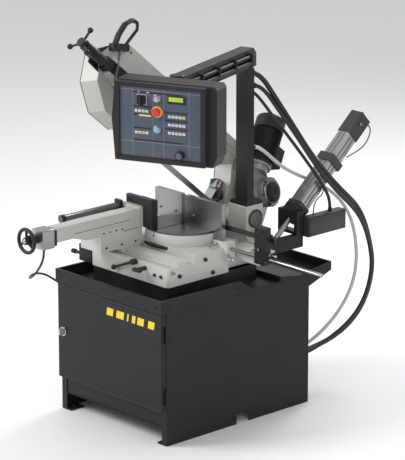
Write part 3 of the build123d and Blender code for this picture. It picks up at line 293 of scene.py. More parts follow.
nodeLooks = {
    "blackPowder": ["cabinet", "tray", "plinth", "door", "coolant_tank", "index_stop"],
    "blackFrame": ["column", "boom", "cylinder_bracket", "motor", "lift_handle", "stop_clamp",
                   "tension_handle"],
    "bowPaint": ["bow_frame", "drive_cover", "idler_cover", "pivot_block"],
    "armPaint": ["vise_arm", "vise_carriage", "jaw_carrier", "swivel_arm"],
    "castPaint": ["base_casting", "turntable_rim", "fence_bracket", "hinge_hub"],
    "groundSteel": ["fence_left", "fence_right", "rear_guide", "front_guide"],
    "wearPlate": ["wear_plate"],
    "brightSteel": ["stop_rod", "cylinder_rod", "door_latch"],
    "bladeSteel": ["blade"],
    "castAlloy": ["gearbox", "drive_wheel", "idler_wheel", "tension_slide"],
    "darkSteel": ["jaw_plate", "stop_bar"],
    "tubeSteel": ["guide_tube"],
    "extrusion": ["feed_cylinder", "vise_actuator"],
    "blackPlastic": ["panel_housing", "vise_handwheel", "table_lock", "vise_lock", "feed_knob",
                     "main_switch"],
    "charcoal": ["valve_box", "cylinder_clamp"],
    "keyWhite": ["key_switch"],
    "stopRed": ["emergency_stop"],
    "lampBlue": ["start_button"],
    "blackRubber": ["main_hose", "second_hose", "signal_cable", "jaw_hose"],
    "paleHose": ["return_hose"],
}
unbevelled = {"main_hose", "second_hose", "signal_cable", "jaw_hose", "return_hose", "blade", "motor",
              "coolant_tank"}
for look, members in nodeLooks.items():
    for member in members:
        node = nodes[member]
        node.data.materials.clear()
        node.data.materials.append(materials[look])
        if member in unbevelled:
            continue
        weld = node.modifiers.new("weld", "WELD")
        weld.merge_threshold = 0.00002
        edge = node.modifiers.new("softEdges", "BEVEL")
        edge.width = 0.0012
        edge.segments = 2
        edge.angle_limit = radians(40)
        edge.harden_normals = True


def paintFaces(member, look, test):
    # gives part of a node its own finish
    mesh = nodes[member].data
    mesh.materials.append(materials[look])
    index = len(mesh.materials) - 1
    for face in mesh.polygons:
        if test(face.center):
            face.material_index = index


paintFaces("feed_cylinder", "charcoal",
           lambda p: (p - feedOrigin).dot(feedAlong) > 0.6552 or (p - feedOrigin).dot(feedAlong) < 0.2121)
paintFaces("vise_actuator", "blackFrame", lambda p: p.y > -0.7645)
paintFaces("hinge_hub", "greyCap", lambda p: p.x > 0.2192)
paintFaces("gearbox", "blackFrame", lambda p: (p - bowOrigin).dot(bowOut) > 0.2152)
paintFaces("tension_slide", "blackFrame", lambda p: (p - bowOrigin).dot(bowAlong) > 0.86)
paintFaces("guide_tube", "blackFrame", lambda p: p.y < -0.5875 or p.y > -0.2445)
paintFaces("bow_frame", "blackFrame", lambda p: (p - bowOrigin).dot(bowAlong) > 1.054)
paintFaces("rear_guide", "blackFrame", lambda p: p.z > 1.115)
paintFaces("swivel_arm", "blackPowder", lambda p: p.y > 0.259 and p.x > 0.3)
print("finishes given to the frame")


# ---- mesh helpers ----
# a finish is a look and the record's slot that it stands for
plastic = ("blackPlastic", "black_plastic")
steel = ("brightSteel", "steel")
rubber = ("blackRubber", "black_rubber")


def addObject(name, data):
    made = bpy.data.objects.new(name, data)
    bpy.context.scene.collection.objects.link(made)
    return made


def makePiece(name, bm, look, sharpAngle):
    bmesh.ops.recalc_face_normals(bm, faces=bm.faces)
    mesh = bpy.data.meshes.new(name)
    bm.to_mesh(mesh)
    bm.free()
    mesh.materials.append(materials[look])
    if sharpAngle:
        mesh.shade_smooth()
        mesh.set_sharp_from_angle(angle=radians(sharpAngle))
    piece = addObject(name, mesh)
    return piece


def finishPiece(name, bm, body, look, slot, smooth=True):
    piece = makePiece(name, bm, look, 35 if smooth else 0)
    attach(piece, body)
    return piece


def addBlock(bm, size, at, bevel=0.001, segments=2):
    made = bmesh.ops.create_cube(bm, size=1.0)["verts"]
    bmesh.ops.scale(bm, vec=size, verts=made)
    edges = list({e for v in made for e in v.link_edges})
    kept = bmesh.ops.bevel(bm, geom=edges, offset=min(bevel, min(size) * 0.45), segments=segments,
                           profile=0.6, affect="EDGES")
    verts = list({v for f in kept["faces"] for v in f.verts} | {v for v in made if v.is_valid})
    bmesh.ops.transform(bm, matrix=at, verts=verts)


def addLathe(bm, profile, at, steps=32):
    # profile is a list of (radius, height) along the outward axis
    rings = []
    for radius, height in profile:
        if radius < 1e-6:
            rings.append([bm.verts.new(at @ Vector((0, 0, height)))])
            continue
        ring = []
        for i in range(steps):
            angle = 2 * pi * i / steps
            ring.append(bm.verts.new(at @ Vector((radius * cos(angle), radius * sin(angle), height))))
        rings.append(ring)
    for low, high in zip(rings, rings[1:]):
        for i in range(steps):
            j = (i + 1) % steps
            if len(low) == 1 and len(high) == 1:
                continue
            if len(low) == 1:
                bm.faces.new((low[0], high[i], high[j]))
            elif len(high) == 1:
                bm.faces.new((low[i], low[j], high[0]))
            else:
                bm.faces.new((low[i], low[j], high[j], high[i]))


def addPrism(bm, points, depth, at, bevel=0.0):
    # a flat outline pulled out by depth along the outward axis
    low = [bm.verts.new(at @ Vector((x, y, 0))) for x, y in points]
    high = [bm.verts.new(at @ Vector((x, y, depth))) for x, y in points]
    bm.faces.new(low)
    top = bm.faces.new(high)
    for i in range(len(points)):
        j = (i + 1) % len(points)
        bm.faces.new((low[i], low[j], high[j], high[i]))
    if bevel:
        bmesh.ops.bevel(bm, geom=list(top.edges), offset=bevel, segments=2, profile=0.5, affect="EDGES")


def blocks(name, parts, body, look, slot, bevel=0.001):
    bm = bmesh.new()
    for size, at in parts:
        addBlock(bm, size, at, bevel)
    return finishPiece(name, bm, body, look, slot)


def lathes(name, profile, places, body, look, slot, steps=32):
    bm = bmesh.new()
    for at in places:
        addLathe(bm, profile, at, steps)
    return finishPiece(name, bm, body, look, slot)


def rounded(width, height, radius, steps=5):
    points = []
    for cx, cy, start in ((1, 1, 0), (-1, 1, 90), (-1, -1, 180), (1, -1, 270)):
        for i in range(steps + 1):
            angle = radians(start + 90 * i / steps)
            points.append((cx * (width / 2 - radius) + radius * cos(angle),
                           cy * (height / 2 - radius) + radius * sin(angle)))
    return points


def capScrews(name, places, body, radius=0.006, look="darkSteel", slot="dark_steel"):
    # socket head screws with a hexagon recess
    bm = bmesh.new()
    for at in places:
        head = [(radius * 0.55, 0.0), (radius, 0.0), (radius, radius * 0.85), (radius * 0.88, radius),
                (radius * 0.52, radius)]
        addLathe(bm, head, at, 18)
        addLathe(bm, [(radius * 0.52, radius), (radius * 0.5, radius * 0.4), (0, radius * 0.4)], at, 6)
    return finishPiece(name, bm, body, look, slot)


def addTube(name, points, radius, body, look, slot, closed=False):
    curve = bpy.data.curves.new(name, "CURVE")
    curve.dimensions = "3D"
    curve.bevel_depth = radius
    curve.bevel_resolution = 6
    curve.resolution_u = 10
    curve.use_fill_caps = True
    spline = curve.splines.new("NURBS")
    spline.points.add(len(points) - 1)
    for target, point in zip(spline.points, points):
        target.co = (*point, 1)
    spline.order_u = 3
    spline.use_endpoint_u = not closed
    spline.use_cyclic_u = closed
    curve.materials.append(materials[look])
    piece = addObject(name, curve)
    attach(piece, body)
    return piece


def smoothLine(points, steps=6):
    # quadratic spline through the midpoints of the route, from its first point to its last
    pts = [Vector(p) for p in points]
    joints = [pts[0]] + [(a + b) / 2 for a, b in zip(pts[1:-2], pts[2:-1])] + [pts[-1]]
    line = [pts[0]]
    for a, control, b in zip(joints, pts[1:-1], joints[1:]):
        for i in range(1, steps + 1):
            t = i / steps
            line.append(a * (1 - t) ** 2 + control * 2 * t * (1 - t) + b * t * t)
    return line


def addHose(name, points, radius, look, slot, sides=16):
    # a round hose as a mesh
    line = smoothLine(points)
    bm = bmesh.new()
    side = (line[1] - line[0]).orthogonal().normalized()
    rings = []
    for i, p in enumerate(line):
        run = (line[min(i + 1, len(line) - 1)] - line[max(i - 1, 0)]).normalized()
        side = (side - run * side.dot(run)).normalized()
        other = run.cross(side)
        turns = [2 * pi * j / sides for j in range(sides)]
        rings.append([bm.verts.new(p + (side * cos(a) + other * sin(a)) * radius) for a in turns])
    for low, high in zip(rings, rings[1:]):
        for j in range(sides):
            bm.faces.new((low[j], low[(j + 1) % sides], high[(j + 1) % sides], high[j]))
    bm.faces.new(rings[0])
    bm.faces.new(rings[-1])
    return makePiece(name, bm, look, 50), [tuple(p) for p in line]


# ---- camera, floor and light ----
camera = {"location": (10.078, -9.324, 4.854), "yaw": 46.87, "down": 16.01, "lens": 225.8}
cameraData = bpy.data.cameras.new("camera")
cameraData.lens = camera["lens"]
cameraData.sensor_width = 36
cameraData.clip_end = 100
cameraObject = addObject("camera", cameraData)
cameraObject.location = camera["location"]
bpy.context.scene.view_settings.view_transform = "Standard"
cameraObject.rotation_euler = (radians(90 - camera["down"]), 0, radians(camera["yaw"]))
bpy.context.scene.camera = cameraObject

world = bpy.data.worlds.new("studio")
bpy.context.scene.world = world
world.use_nodes = True
setInputs(world.node_tree.nodes["Background"], {"Color": (1, 1, 1, 1), "Strength": 0.62})

floorMesh = bmesh.new()
bmesh.ops.create_grid(floorMesh, x_segments=1, y_segments=1, size=30)
floorData = bpy.data.meshes.new("floor")
floorMesh.to_mesh(floorData)
floorMesh.free()
floorMaterial = bpy.data.materials.new("paleFloor")
floorMaterial.use_nodes = True
setInputs(floorMaterial.node_tree.nodes["Principled BSDF"],
          {"Base Color": (0.93, 0.93, 0.93, 1), "Roughness": 0.6})
floorData.materials.append(floorMaterial)
floor = addObject("floor", floorData)

lights = {
    "key": {"at": (-3.2, -4.6, 4.6), "power": 260, "size": 2.6},
    "fill": {"at": (5.5, -3.0, 3.0), "power": 70, "size": 3.0},
    "rim": {"at": (-1.0, 4.5, 4.2), "power": 160, "size": 2.5},
}
for name, light in lights.items():
    data = bpy.data.lights.new(name, "AREA")
    data.energy = light["power"]
    data.size = light["size"]
    lamp = addObject(name, data)
    lamp.location = light["at"]
    aim = Vector((0, 0, 1.0)) - lamp.location
    lamp.rotation_euler = aim.to_track_quat("-Z", "Y").to_euler()
print("camera, floor and light set")

# ---- hoses and cables: each route repeats the frame's own ----
mainHose = {"length": 2.182, "diameter": 0.026, "body": "base", "look": "blackRubber",
            "slot": "black_rubber", "route": [
    (0.185, 0.2592, 1.7), (0.185, 0.292, 1.7), (0.204, 0.338, 1.66), (0.244, 0.362, 1.59), (0.3, 0.42, 1.462),
    (0.342, 0.538, 1.264), (0.348, 0.683, 1.109), (0.348, 0.792, 1.011), (0.34, 0.862, 0.952),
            (0.331, 0.932, 0.86),
    (0.322, 0.985, 0.735), (0.315, 1.02, 0.611), (0.302, 1.01, 0.48), (0.29, 0.96, 0.368),
            (0.27, 0.88, 0.285),
    (0.25, 0.775, 0.232), (0.236, 0.655, 0.208), (0.228, 0.575, 0.205), (0.228, 0.475, 0.205)]}
secondHose = {"length": 2.056, "diameter": 0.02, "body": "base", "look": "blackRubber",
              "slot": "black_rubber", "route": [
    (0.206, 0.2592, 1.64), (0.206, 0.29, 1.64), (0.228, 0.334, 1.6), (0.276, 0.364, 1.52),
            (0.334, 0.432, 1.39),
    (0.374, 0.54, 1.212), (0.381, 0.683, 1.06), (0.381, 0.785, 0.97), (0.374, 0.85, 0.905),
            (0.365, 0.912, 0.815),
    (0.356, 0.956, 0.705), (0.348, 0.98, 0.6), (0.336, 0.968, 0.49), (0.322, 0.922, 0.39),
            (0.304, 0.85, 0.314),
    (0.284, 0.755, 0.258), (0.27, 0.645, 0.218), (0.264, 0.57, 0.205), (0.264, 0.475, 0.205)]}
returnHose = {"length": 1.78, "diameter": 0.018, "body": "base", "look": "paleHose", "slot": "grey_rubber",
              "route": [
    (0.2, 0.2592, 1.33), (0.2, 0.288, 1.33), (0.199, 0.34, 1.3), (0.194, 0.41, 1.244), (0.192, 0.48, 1.19),
    (0.194, 0.56, 1.142), (0.2, 0.656, 1.096), (0.215, 0.75, 1.048), (0.238, 0.84, 0.975),
                        (0.258, 0.908, 0.87),
    (0.268, 0.94, 0.745), (0.266, 0.952, 0.611), (0.256, 0.932, 0.49), (0.242, 0.872, 0.385),
                        (0.224, 0.79, 0.3),
    (0.206, 0.69, 0.235), (0.194, 0.59, 0.205), (0.19, 0.54, 0.205), (0.19, 0.475, 0.205)]}
signalCable = {"length": 0.826, "diameter": 0.016, "body": "swivel", "look": "blackRubber",
               "slot": "black_rubber", "route": [
    (0.16, 0.2592, 1.61), (0.16, 0.288, 1.61), (0.182, 0.33, 1.566), (0.232, 0.37, 1.478),
            (0.296, 0.436, 1.356),
    (0.33, 0.53, 1.22), (0.336, 0.6, 1.128), (0.341, 0.65, 1.056), (0.343, 0.671, 1.0),
            (0.343, 0.671, 0.9572)]}
jawHose = {"length": 0.704, "diameter": 0.011, "body": "base", "look": "blackRubber", "slot": "black_rubber",
           "route": [
    (-0.12, -0.812, 0.9548), (-0.12, -0.812, 0.915), (-0.134, -0.822, 0.868), (-0.176, -0.822, 0.818),
                     (-0.238, -0.8, 0.78),
    (-0.306, -0.752, 0.756), (-0.366, -0.69, 0.744), (-0.41, -0.62, 0.73), (-0.432, -0.55, 0.706),
                     (-0.44, -0.496, 0.672),
    (-0.428, -0.464, 0.645), (-0.3882, -0.464, 0.645)]}
bends = {"main_hose": ("swivel", "base", (0.2, 0.3, 1.64), (0.2, 0.3, 0.26)),
         "second_hose": ("swivel", "base", (0.2, 0.3, 1.6), (0.2, 0.3, 0.26)),
         "return_hose": ("swivel", "base", (0.2, 0.3, 1.3), (0.2, 0.3, 0.26)),
         "jaw_hose": ("vise_ram", "vise_carriage", (-0.12, -0.812, 0.92), (-0.4, -0.55, 0.68))}
for name, node, hose in (("mainHose", "main_hose", mainHose), ("secondHose", "second_hose", secondHose),
                         ("returnHose", "return_hose", returnHose),
                         ("signalCable", "signal_cable", signalCable),
                         ("jawHose", "jaw_hose", jawHose)):
    piece, line = addHose(name, hose["route"], hose["diameter"] / 2, hose["look"], hose["slot"])
    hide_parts(node)
    if node in bends:
        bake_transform(piece)
    else:
        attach(piece, hose["body"])

# glands where the hoses leave the column and enter the cabinet, valve box and actuator
gland = [(0.9, 0.0), (1.45, 0.0), (1.45, 0.35), (1.25, 0.5), (1.25, 0.9), (1.38, 1.0), (1.38, 1.7),
         (1.12, 2.1), (1.03, 2.4), (0.9, 2.4)]


def glandSet(name, ends, body):
    bm = bmesh.new()
    for at, outward, radius in ends:
        addLathe(bm, [(r * radius, h * radius) for r, h in gland], facing(at, outward), 24)
    return finishPiece(name, bm, body, *plastic)


glandSet("columnGlands", [(hose["route"][0], toBack, hose["diameter"] / 2)
                          for hose in (mainHose, secondHose, returnHose, signalCable)]
         + [((0.343, 0.671, 0.9571), up, 0.008)], "swivel")
glandSet("cabinetGlands", [((x, 0.4832, 0.205), toBack, hose["diameter"] / 2)
                           for x, hose in ((0.228, mainHose), (0.264, secondHose), (0.19, returnHose))]
         + [((-0.3881, -0.464, 0.645), toLeft, 0.0055)], "base")
glandSet("actuatorGland", [((-0.12, -0.812, 0.9549), (0, 0, -1), 0.0055)], "vise_ram")
print("hoses and cables laid")

# ---- control panel ----
panel = {"faceZ": -0.007, "key": (0.0135, 0.0125, 0.003), "pitch": 0.0182, "width": 0.407, "height": 0.332}
controls = {"mainSwitch": (-0.093, 0.107), "keySwitch": (-0.015, 0.119), "stop": (-0.013, 0.056),
            "start": (-0.015, -0.029), "knob": (0.102, -0.141)}


def onFace(x, y, lift=0.0):
    return panelPlace(x, y, panel["faceZ"] + lift)


def panelFlat(name, rectangles, lift, look, slot="black_plastic"):
    bm = bmesh.new()
    for x, y, width, height in rectangles:
        addBlock(bm, (width, height, 0.0008), onFace(x, y, lift), 0.0002, 1)
    return finishPiece(name, bm, "panel", look, slot)


faceBm = bmesh.new()
addPrism(faceBm, rounded(panel["width"] - 0.002, panel["height"] - 0.002, 0.004), 0.0006, onFace(0, 0),
         0.0003)
finishPiece("panelFace", faceBm, "panel", "panelBlue", "black_plastic")
faceTop = 0.0009
panelFlat("panelGrid", [(x, 0, 0.0012, 0.325) for x in (-0.138, -0.035, 0.018, 0.146)]
          + [(0, y, 0.4, 0.0012) for y in (0.152, -0.094)], faceTop, "printPale")
panelFlat("panelBars",
          [(-0.01, 0.143, 0.25, 0.006), (-0.089, 0.074, 0.094, 0.006), (-0.089, 0.036, 0.094, 0.006),
                        (-0.089, -0.028, 0.094, 0.006), (0.083, 0.058, 0.118, 0.006),
           (0.083, 0.019, 0.118, 0.006),
                        (0.083, -0.02, 0.118, 0.006), (-0.01, -0.085, 0.25, 0.006),
           (0.085, 0.119, 0.094, 0.04)],
          faceTop + 0.0003, "printBlack")
panelFlat("panelMarks",
          [(-0.108, 0.143, 0.009, 0.004), (-0.062, 0.143, 0.014, 0.004), (-0.076, 0.0325, 0.062, 0.0075)],
          faceTop + 0.0006, "keyYellow")
keyRows = [(-0.121, 0.053, 4), (-0.121, -0.05, 4), (0.047, 0.038, 5), (0.047, -0.001, 5), (0.047, -0.04, 5)]
whiteKeys, yellowKeys, legends = [], [], []
for row, (x0, y, count) in enumerate(keyRows):
    for i in range(count):
        x = x0 + i * panel["pitch"]
        yellow = (row, i) in ((1, 2), (2, 4))
        (yellowKeys if yellow else whiteKeys).append((x, y))
        legends.append((x, y))
keySize = panel["key"]
for name, keys, look in (("keysWhite", whiteKeys, "keyWhite"), ("keysYellow", yellowKeys, "keyYellow")):
    blocks(name, [(keySize, onFace(x, y, 0.0014)) for x, y in keys], "panel", look, "black_plastic", 0.0012)
legendBm = bmesh.new()
for i, (x, y) in enumerate(legends):
    kind = i % 3
    at = onFace(x, y, 0.0029)
    if kind == 0:
        addPrism(legendBm, [(-0.003, -0.0025), (0.003, -0.0025), (0, 0.003)], 0.0003, at)
    elif kind == 1:
        addPrism(legendBm, [(-0.003, -0.001), (0.003, -0.001), (0.003, 0.001), (-0.003, 0.001)], 0.0003, at)
    else:
        addLathe(legendBm, [(0, 0), (0.0026, 0), (0.0026, 0.0003), (0, 0.0003)], at, 14)
finishPiece("keyLegends", legendBm, "panel", "printBlack", "black_plastic", smooth=False)
displayBm = bmesh.new()
addPrism(displayBm, rounded(0.072, 0.021, 0.002), 0.0012, onFace(0.08, 0.121, 0.0014), 0.0004)
finishPiece("display", displayBm, "panel", "displayGreen", "black_plastic")
lathes("stopRing", [(0.0275, 0.0008), (0.0275, 0.009), (0.0265, 0.0096), (0.0135, 0.0096), (0.0135, 0.009)],
       [onFace(*controls["stop"])], "panel", "stopAmber", "black_plastic", 48)
lathes("stopCrown", [(0.0202, 0.0), (0.0208, 0.003), (0.0208, 0.01), (0.0185, 0.0135), (0.0165, 0.0163),
                     (0.012, 0.0172),
                     (0.0115, 0.0166), (0, 0.0166)], [panelPlace(*controls["stop"], 0.0079)],
       "emergency_stop", "stopRed", "red_plastic", 48)
lathes("startBezel", [(0.0145, 0.0), (0.0185, 0.0), (0.0185, 0.004), (0.0172, 0.0052), (0.0147, 0.0052)],
       [onFace(*controls["start"])], "panel", *steel, 40)
lathes("startCrown", [(0.0142, 0.0), (0.0142, 0.005), (0.0125, 0.0072), (0.008, 0.0082), (0, 0.0084)],
       [panelPlace(*controls["start"], -0.0008)], "start_button", "lampBlue", "blue_plastic", 40)
switchPlate = bmesh.new()
addPrism(switchPlate, rounded(0.05, 0.05, 0.004), 0.0012, onFace(*controls["mainSwitch"], 0.0006), 0.0004)
finishPiece("switchPlate", switchPlate, "panel", "keyWhite", "black_plastic")
lathes("switchHub", [(0.0, 0.0), (0.019, 0.0), (0.019, 0.006), (0.0165, 0.009), (0, 0.009)],
       [onFace(*controls["mainSwitch"], 0.0065)], "main_switch", *plastic, 36)
lathes("keyRing", [(0.0125, 0.0), (0.0185, 0.0), (0.0185, 0.003), (0.017, 0.0042), (0.0165, 0.0076),
                   (0.0155, 0.008), (0.0, 0.008)],
       [onFace(*controls["keySwitch"], 0.001)], "key_switch", *steel, 40)
knurl = bmesh.new()
for i in range(28):
    angle = 2 * pi * i / 28
    at = panelPlace(*controls["knob"], 0) @ spin(angle) @ shift(0.0208, 0, 0.005)
    addBlock(knurl, (0.0016, 0.0022, 0.017), at, 0.0005, 1)
finishPiece("knobKnurl", knurl, "feed_knob", *plastic)
lathes("knobCap", [(0.0, 0.0), (0.0145, 0.0), (0.0145, 0.0008), (0.0135, 0.0014), (0, 0.0014)],
       [panelPlace(*controls["knob"], 0.0153)], "feed_knob", "greyCap", "black_plastic", 32)
capScrews("panelScrews", [panelPlace(x, y, 0.0) for x in (-0.216, 0.216) for y in (-0.176, 0.176)], "panel",
          0.0035)
print("control panel dressed")

# ---- boom and column ----
boomEnd = columnTop + boomAlong * 0.7
boomSide = Vector((boomAlong.y, -boomAlong.x, 0)) * -1
for name, drop, radius in (("boomConduit", 0.03, 0.011), ("boomCable", 0.062, 0.008)):
    reach = 0.0355 + radius
    route = [columnTop + boomAlong * s + boomSide * r + Vector((0, 0, drop))
             for s, r in ((-0.012, 0.02), (0.0, reach), (0.1, reach), (0.3, reach), (0.5, reach),
                          (0.64, reach), (0.655, 0.02))]
    addTube(name, [tuple(p) for p in route], radius, "boom", *rubber)
clipParts = []
for s in (0.03, 0.2, 0.37, 0.54):
    centre = columnTop + boomAlong * s + boomSide * 0.0455 + Vector((0, 0, 0.045))
    clipParts.append(((0.012, 0.026, 0.066), place(centre, boomAlong, boomSide, Vector((0, 0, 1)))))
blocks("boomClips", clipParts, "boom", *plastic, 0.004)
capScrews("columnScrews", [facing((x, y, 1.052), up) for x in (0.112, 0.205) for y in (0.222, 0.306)],
          "swivel", 0.006)
lathes("boomPivotCap", [(0.0, 0.0), (0.034, 0.0), (0.034, 0.004), (0.03, 0.007), (0, 0.007)],
       [facing(boomEnd + Vector((0, 0, 0.0951)), up)], "boom", *plastic, 40)
lathes("panelPivotCollar", [(0.0305, 0.0), (0.046, 0.0), (0.046, 0.012), (0.044, 0.014), (0.0305, 0.014)],
       [facing((boomEnd.x, boomEnd.y, 1.7005), up)], "panel", *plastic, 40)
print("boom and column dressed")

# ---- pivot block ----
pivot = {"y": 0.268, "z": 0.967, "capX": 0.2254}
lathes("pivotCap", [(0.0, 0.0012), (0.037, 0.0012), (0.039, 0.0), (0.0435, 0.0), (0.0455, 0.0015),
                    (0.046, 0.0), (0.046, -0.004)],
       [facing((pivot["capX"], pivot["y"], pivot["z"]), toRight)], "head", "greyCap", "casting", 56)
capScrews("blockScrews", [facing((x, y, 0.905), up) for x in (0.084, 0.228) for y in (0.202, 0.31)],
          "swivel", 0.007)
print("pivot dressed")

# ---- vise ----
vise = {"jawScrewZ": (0.975, 1.075)}
capScrews("jawScrews",
        [facing((x, -0.1598, z), toBack) for x in (-0.115, -0.045) for z in vise["jawScrewZ"]], "vise_ram",
          0.005)
capScrews("carrierScrews",
        [facing((x, -0.2241, z), toFront) for x in (-0.205, -0.183) for z in (0.968, 1.03)], "vise_ram",
          0.005)
capScrews("cheekScrews", [facing((-0.0918, y, 0.966), toRight) for y in (-0.455, -0.415, -0.375, -0.335)],
          "vise_carriage", 0.004)
capScrews("carriageScrews", [facing((-0.0918, y, 0.889), toRight) for y in (-0.44, -0.34, -0.25)],
          "vise_carriage", 0.005)
blocks("armSeam", [((0.0012, 0.36, 0.0022), shift(-0.0968, -0.46, 1.0))], "vise_ram", "printBlack",
       "grey_paint", 0.0004)
lathes("wheelHubCap", [(0.0, 0.0), (0.011, 0.0), (0.011, 0.003), (0.007, 0.006), (0, 0.0065)],
       [facing((-0.145, -0.9101, 1.005), toFront)], "vise_handwheel", *steel, 28)
lathes("tubeEndPlug",
        [(0.0, 0.0), (0.0165, 0.0), (0.0165, 0.0015), (0.012, 0.003), (0.0065, 0.003), (0.006, 0.001),
         (0, 0.001)],
       [facing((-0.23, -0.612, 1.041), toFront)], "vise_ram", "greyCap", "dark_steel", 32)
print("vise dressed")

# ---- base casting and turntable ----
scaleArc = bmesh.new()
arc = [radians(a) for a in range(246, 295, 3)]
addPrism(scaleArc, [(0.214 * cos(a), 0.214 * sin(a)) for a in arc]
         + [(0.1975 * cos(a), 0.1975 * sin(a)) for a in reversed(arc)], 0.014, shift(0, 0, 0.8695), 0.0006)
finishPiece("scaleArc", scaleArc, "base", "darkSteel", "dark_steel")
ticks = bmesh.new()
for degree in range(248, 293, 2):
    longTick = degree % 10 == 0
    a = radians(degree)
    at = spin(a) @ shift(0.2085 - (0.002 if longTick else 0), 0, 0.8836)
    addBlock(ticks, (0.009 if longTick else 0.005, 0.0008, 0.0006), at, 0.0001, 1)
finishPiece("scaleTicks", ticks, "base", "keyWhite", "steel")
pointer = bmesh.new()
addPrism(pointer, [(-0.007, 0.0), (0.007, 0.0), (0, -0.012)], 0.0006,
         place(Vector((-0.012, -0.2001, 0.9255)), Vector((1, 0, 0)), up, Vector((0, -1, 0))))
finishPiece("kerfPointer", pointer, "swivel", "printBlack", "casting", smooth=False)
capScrews("castingSideScrews",
        [facing((0.2806, y, z), toRight) for y, z in ((-0.3, 0.8), (-0.13, 0.85), (-0.08, 0.775))], "base",
          0.01)
capScrews("castingFrontScrews", [facing((x, -0.3761, 0.802), toFront) for x in (0.19, 0.235)], "base", 0.008)
capScrews("fenceScrews", [facing((x, -0.0002, 1.0), toFront) for x in (0.06, 0.19)], "base", 0.006,
          "groundSteel", "steel")
capScrews("fenceLeftScrews", [facing((x, -0.0002, 1.0), toFront) for x in (-0.18, -0.07)], "fence_left",
          0.006, "groundSteel", "steel")
lockProfile = [(0.0, 0.0), (0.007, 0.0), (0.007, 0.016), (0.0045, 0.018), (0.0045, 0.05), (0.0075, 0.053),
               (0.0085, 0.062), (0.006, 0.07), (0, 0.072)]
lathes("clampLevers", lockProfile,
       [facing((0.236, -0.0101, 0.897), (0.25, -1, 0.05)), facing((0.3081, -0.002, 0.85), (1, -0.35, -0.1))],
       "base", *steel, 24)
sidePlate = {"x": (0.31, 0.47), "y": (0.052, 0.16), "z": 0.872}
bm = bmesh.new()
px, py = sidePlate["x"], sidePlate["y"]
addBlock(bm, (px[1] - px[0] + 0.06, py[1] - py[0], 0.01),
         shift((px[0] + px[1]) / 2 - 0.03, (py[0] + py[1]) / 2, sidePlate["z"]), 0.0015)
addBlock(bm, (px[1] - px[0] + 0.06, 0.008, 0.05),
         shift((px[0] + px[1]) / 2 - 0.03, py[0] + 0.004, sidePlate["z"] - 0.026), 0.0015)
finishPiece("sidePlate", bm, "base", "armPaint", "casting")
print("casting and turntable dressed")

# ---- saw head ----
head = {"cover": 0.0443, "plate": 0.068}
outlineNear = [(0.74, -0.04), (0.905, -0.04), (1.02, 0.062), (1.045, 0.2), (1.01, 0.262), (0.88, 0.34),
               (-0.3, 0.34), (-0.415, 0.25),
               (-0.415, 0.06), (-0.33, -0.04), (-0.145, -0.04), (-0.088, 0.03), (-0.088, 0.13),
               (-0.06, 0.215), (0.64, 0.215),
               (0.69, 0.13), (0.69, 0.03)]


def bowLine(points, out):
    return [tuple(bowPoint(x, y, out)) for x, y in points]


def dense(points):
    # repeats corners so that the line stays tight in them
    result = []
    for i, (x, y) in enumerate(points):
        nx, ny = points[(i + 1) % len(points)]
        gapLength = hypot(nx - x, ny - y)
        step = min(0.008, gapLength / 3) / gapLength
        result += [(x, y), (x + (nx - x) * step, y + (ny - y) * step),
                   (nx - (nx - x) * step, ny - (ny - y) * step)]
    return result


addTube("coverSeal", bowLine(dense(outlineNear), -0.0382), 0.0016, "head", *rubber, closed=True)
coverScrewAt = [(0.84, -0.028), (0.87, 0.326), (0.62, 0.326), (0.56, 0.326), (0.3, 0.326), (0.0, 0.326),
                (-0.29, 0.324), (-0.402, 0.2), (-0.402, 0.08), (-0.24, -0.028), (-0.04, 0.236), (0.3, 0.23),
                (0.57, 0.23), (0.63, 0.23)]
backOut = place(Vector((0, 0, 0)), bowAlong, -bowAcross, -bowOut).to_3x3().to_4x4()


def coverPlace(along, across, out):
    m = backOut.copy()
    m.translation = bowPoint(along, across, out)
    return m


capScrews("coverScrews", [coverPlace(x, y, -head["cover"]) for x, y in coverScrewAt], "head", 0.006)
lathes("coverKnobs", [(0.0, 0.0), (0.009, 0.0), (0.009, 0.012), (0.021, 0.016), (0.022, 0.026),
                      (0.018, 0.032), (0, 0.033)],
       [coverPlace(0.86, 0.151, -head["cover"]), coverPlace(-0.25, 0.151, -head["cover"])], "head", *plastic,
       30)
plateScrewAt = [(-0.38, 0.09), (-0.38, 0.22), (-0.1, 0.31), (0.1, 0.31), (0.35, 0.31), (0.6, 0.31),
                (0.86, 0.31), (0.98, 0.25),
                (0.72, 0.0), (0.74, 0.1), (0.2, 0.245), (0.45, 0.245)]
capScrews("plateScrews", [bowPlace(x, y, head["plate"]) for x, y in plateScrewAt], "head", 0.005)
ribs = bmesh.new()
for a, b in (((-0.04, 0.262), (0.62, 0.262)), ((-0.04, 0.294), (0.62, 0.294))):
    addBlock(ribs, (b[0] - a[0], 0.006, 0.004), bowPlace((a[0] + b[0]) / 2, a[1], head["plate"] + 0.0018),
             0.0018)
finishPiece("plateRibs", ribs, "head", "bowPaint", "grey_paint")
latch = [(-0.14, 0.25, 0.078), (-0.12, 0.27, 0.086), (-0.08, 0.262, 0.09), (-0.05, 0.236, 0.09),
         (-0.052, 0.205, 0.088), (-0.074, 0.19, 0.082)]
addTube("latchRod", [tuple(bowPoint(a, b, c)) for a, b, c in latch], 0.003, "head", "darkSteel", "dark_steel")
lathes("driveDial", [(0.0, 0.0), (0.018, 0.0), (0.018, 0.002), (0.0155, 0.003), (0.0125, 0.0012),
                     (0, 0.0012)],
       [bowPlace(-0.33, 0.285, head["plate"])], "head", "darkSteel", "dark_steel", 32)
rodTop = bowPoint(0.955, 0.262, 0.092)
rodFoot = bowPoint(0.967, 0.06, 0.132)
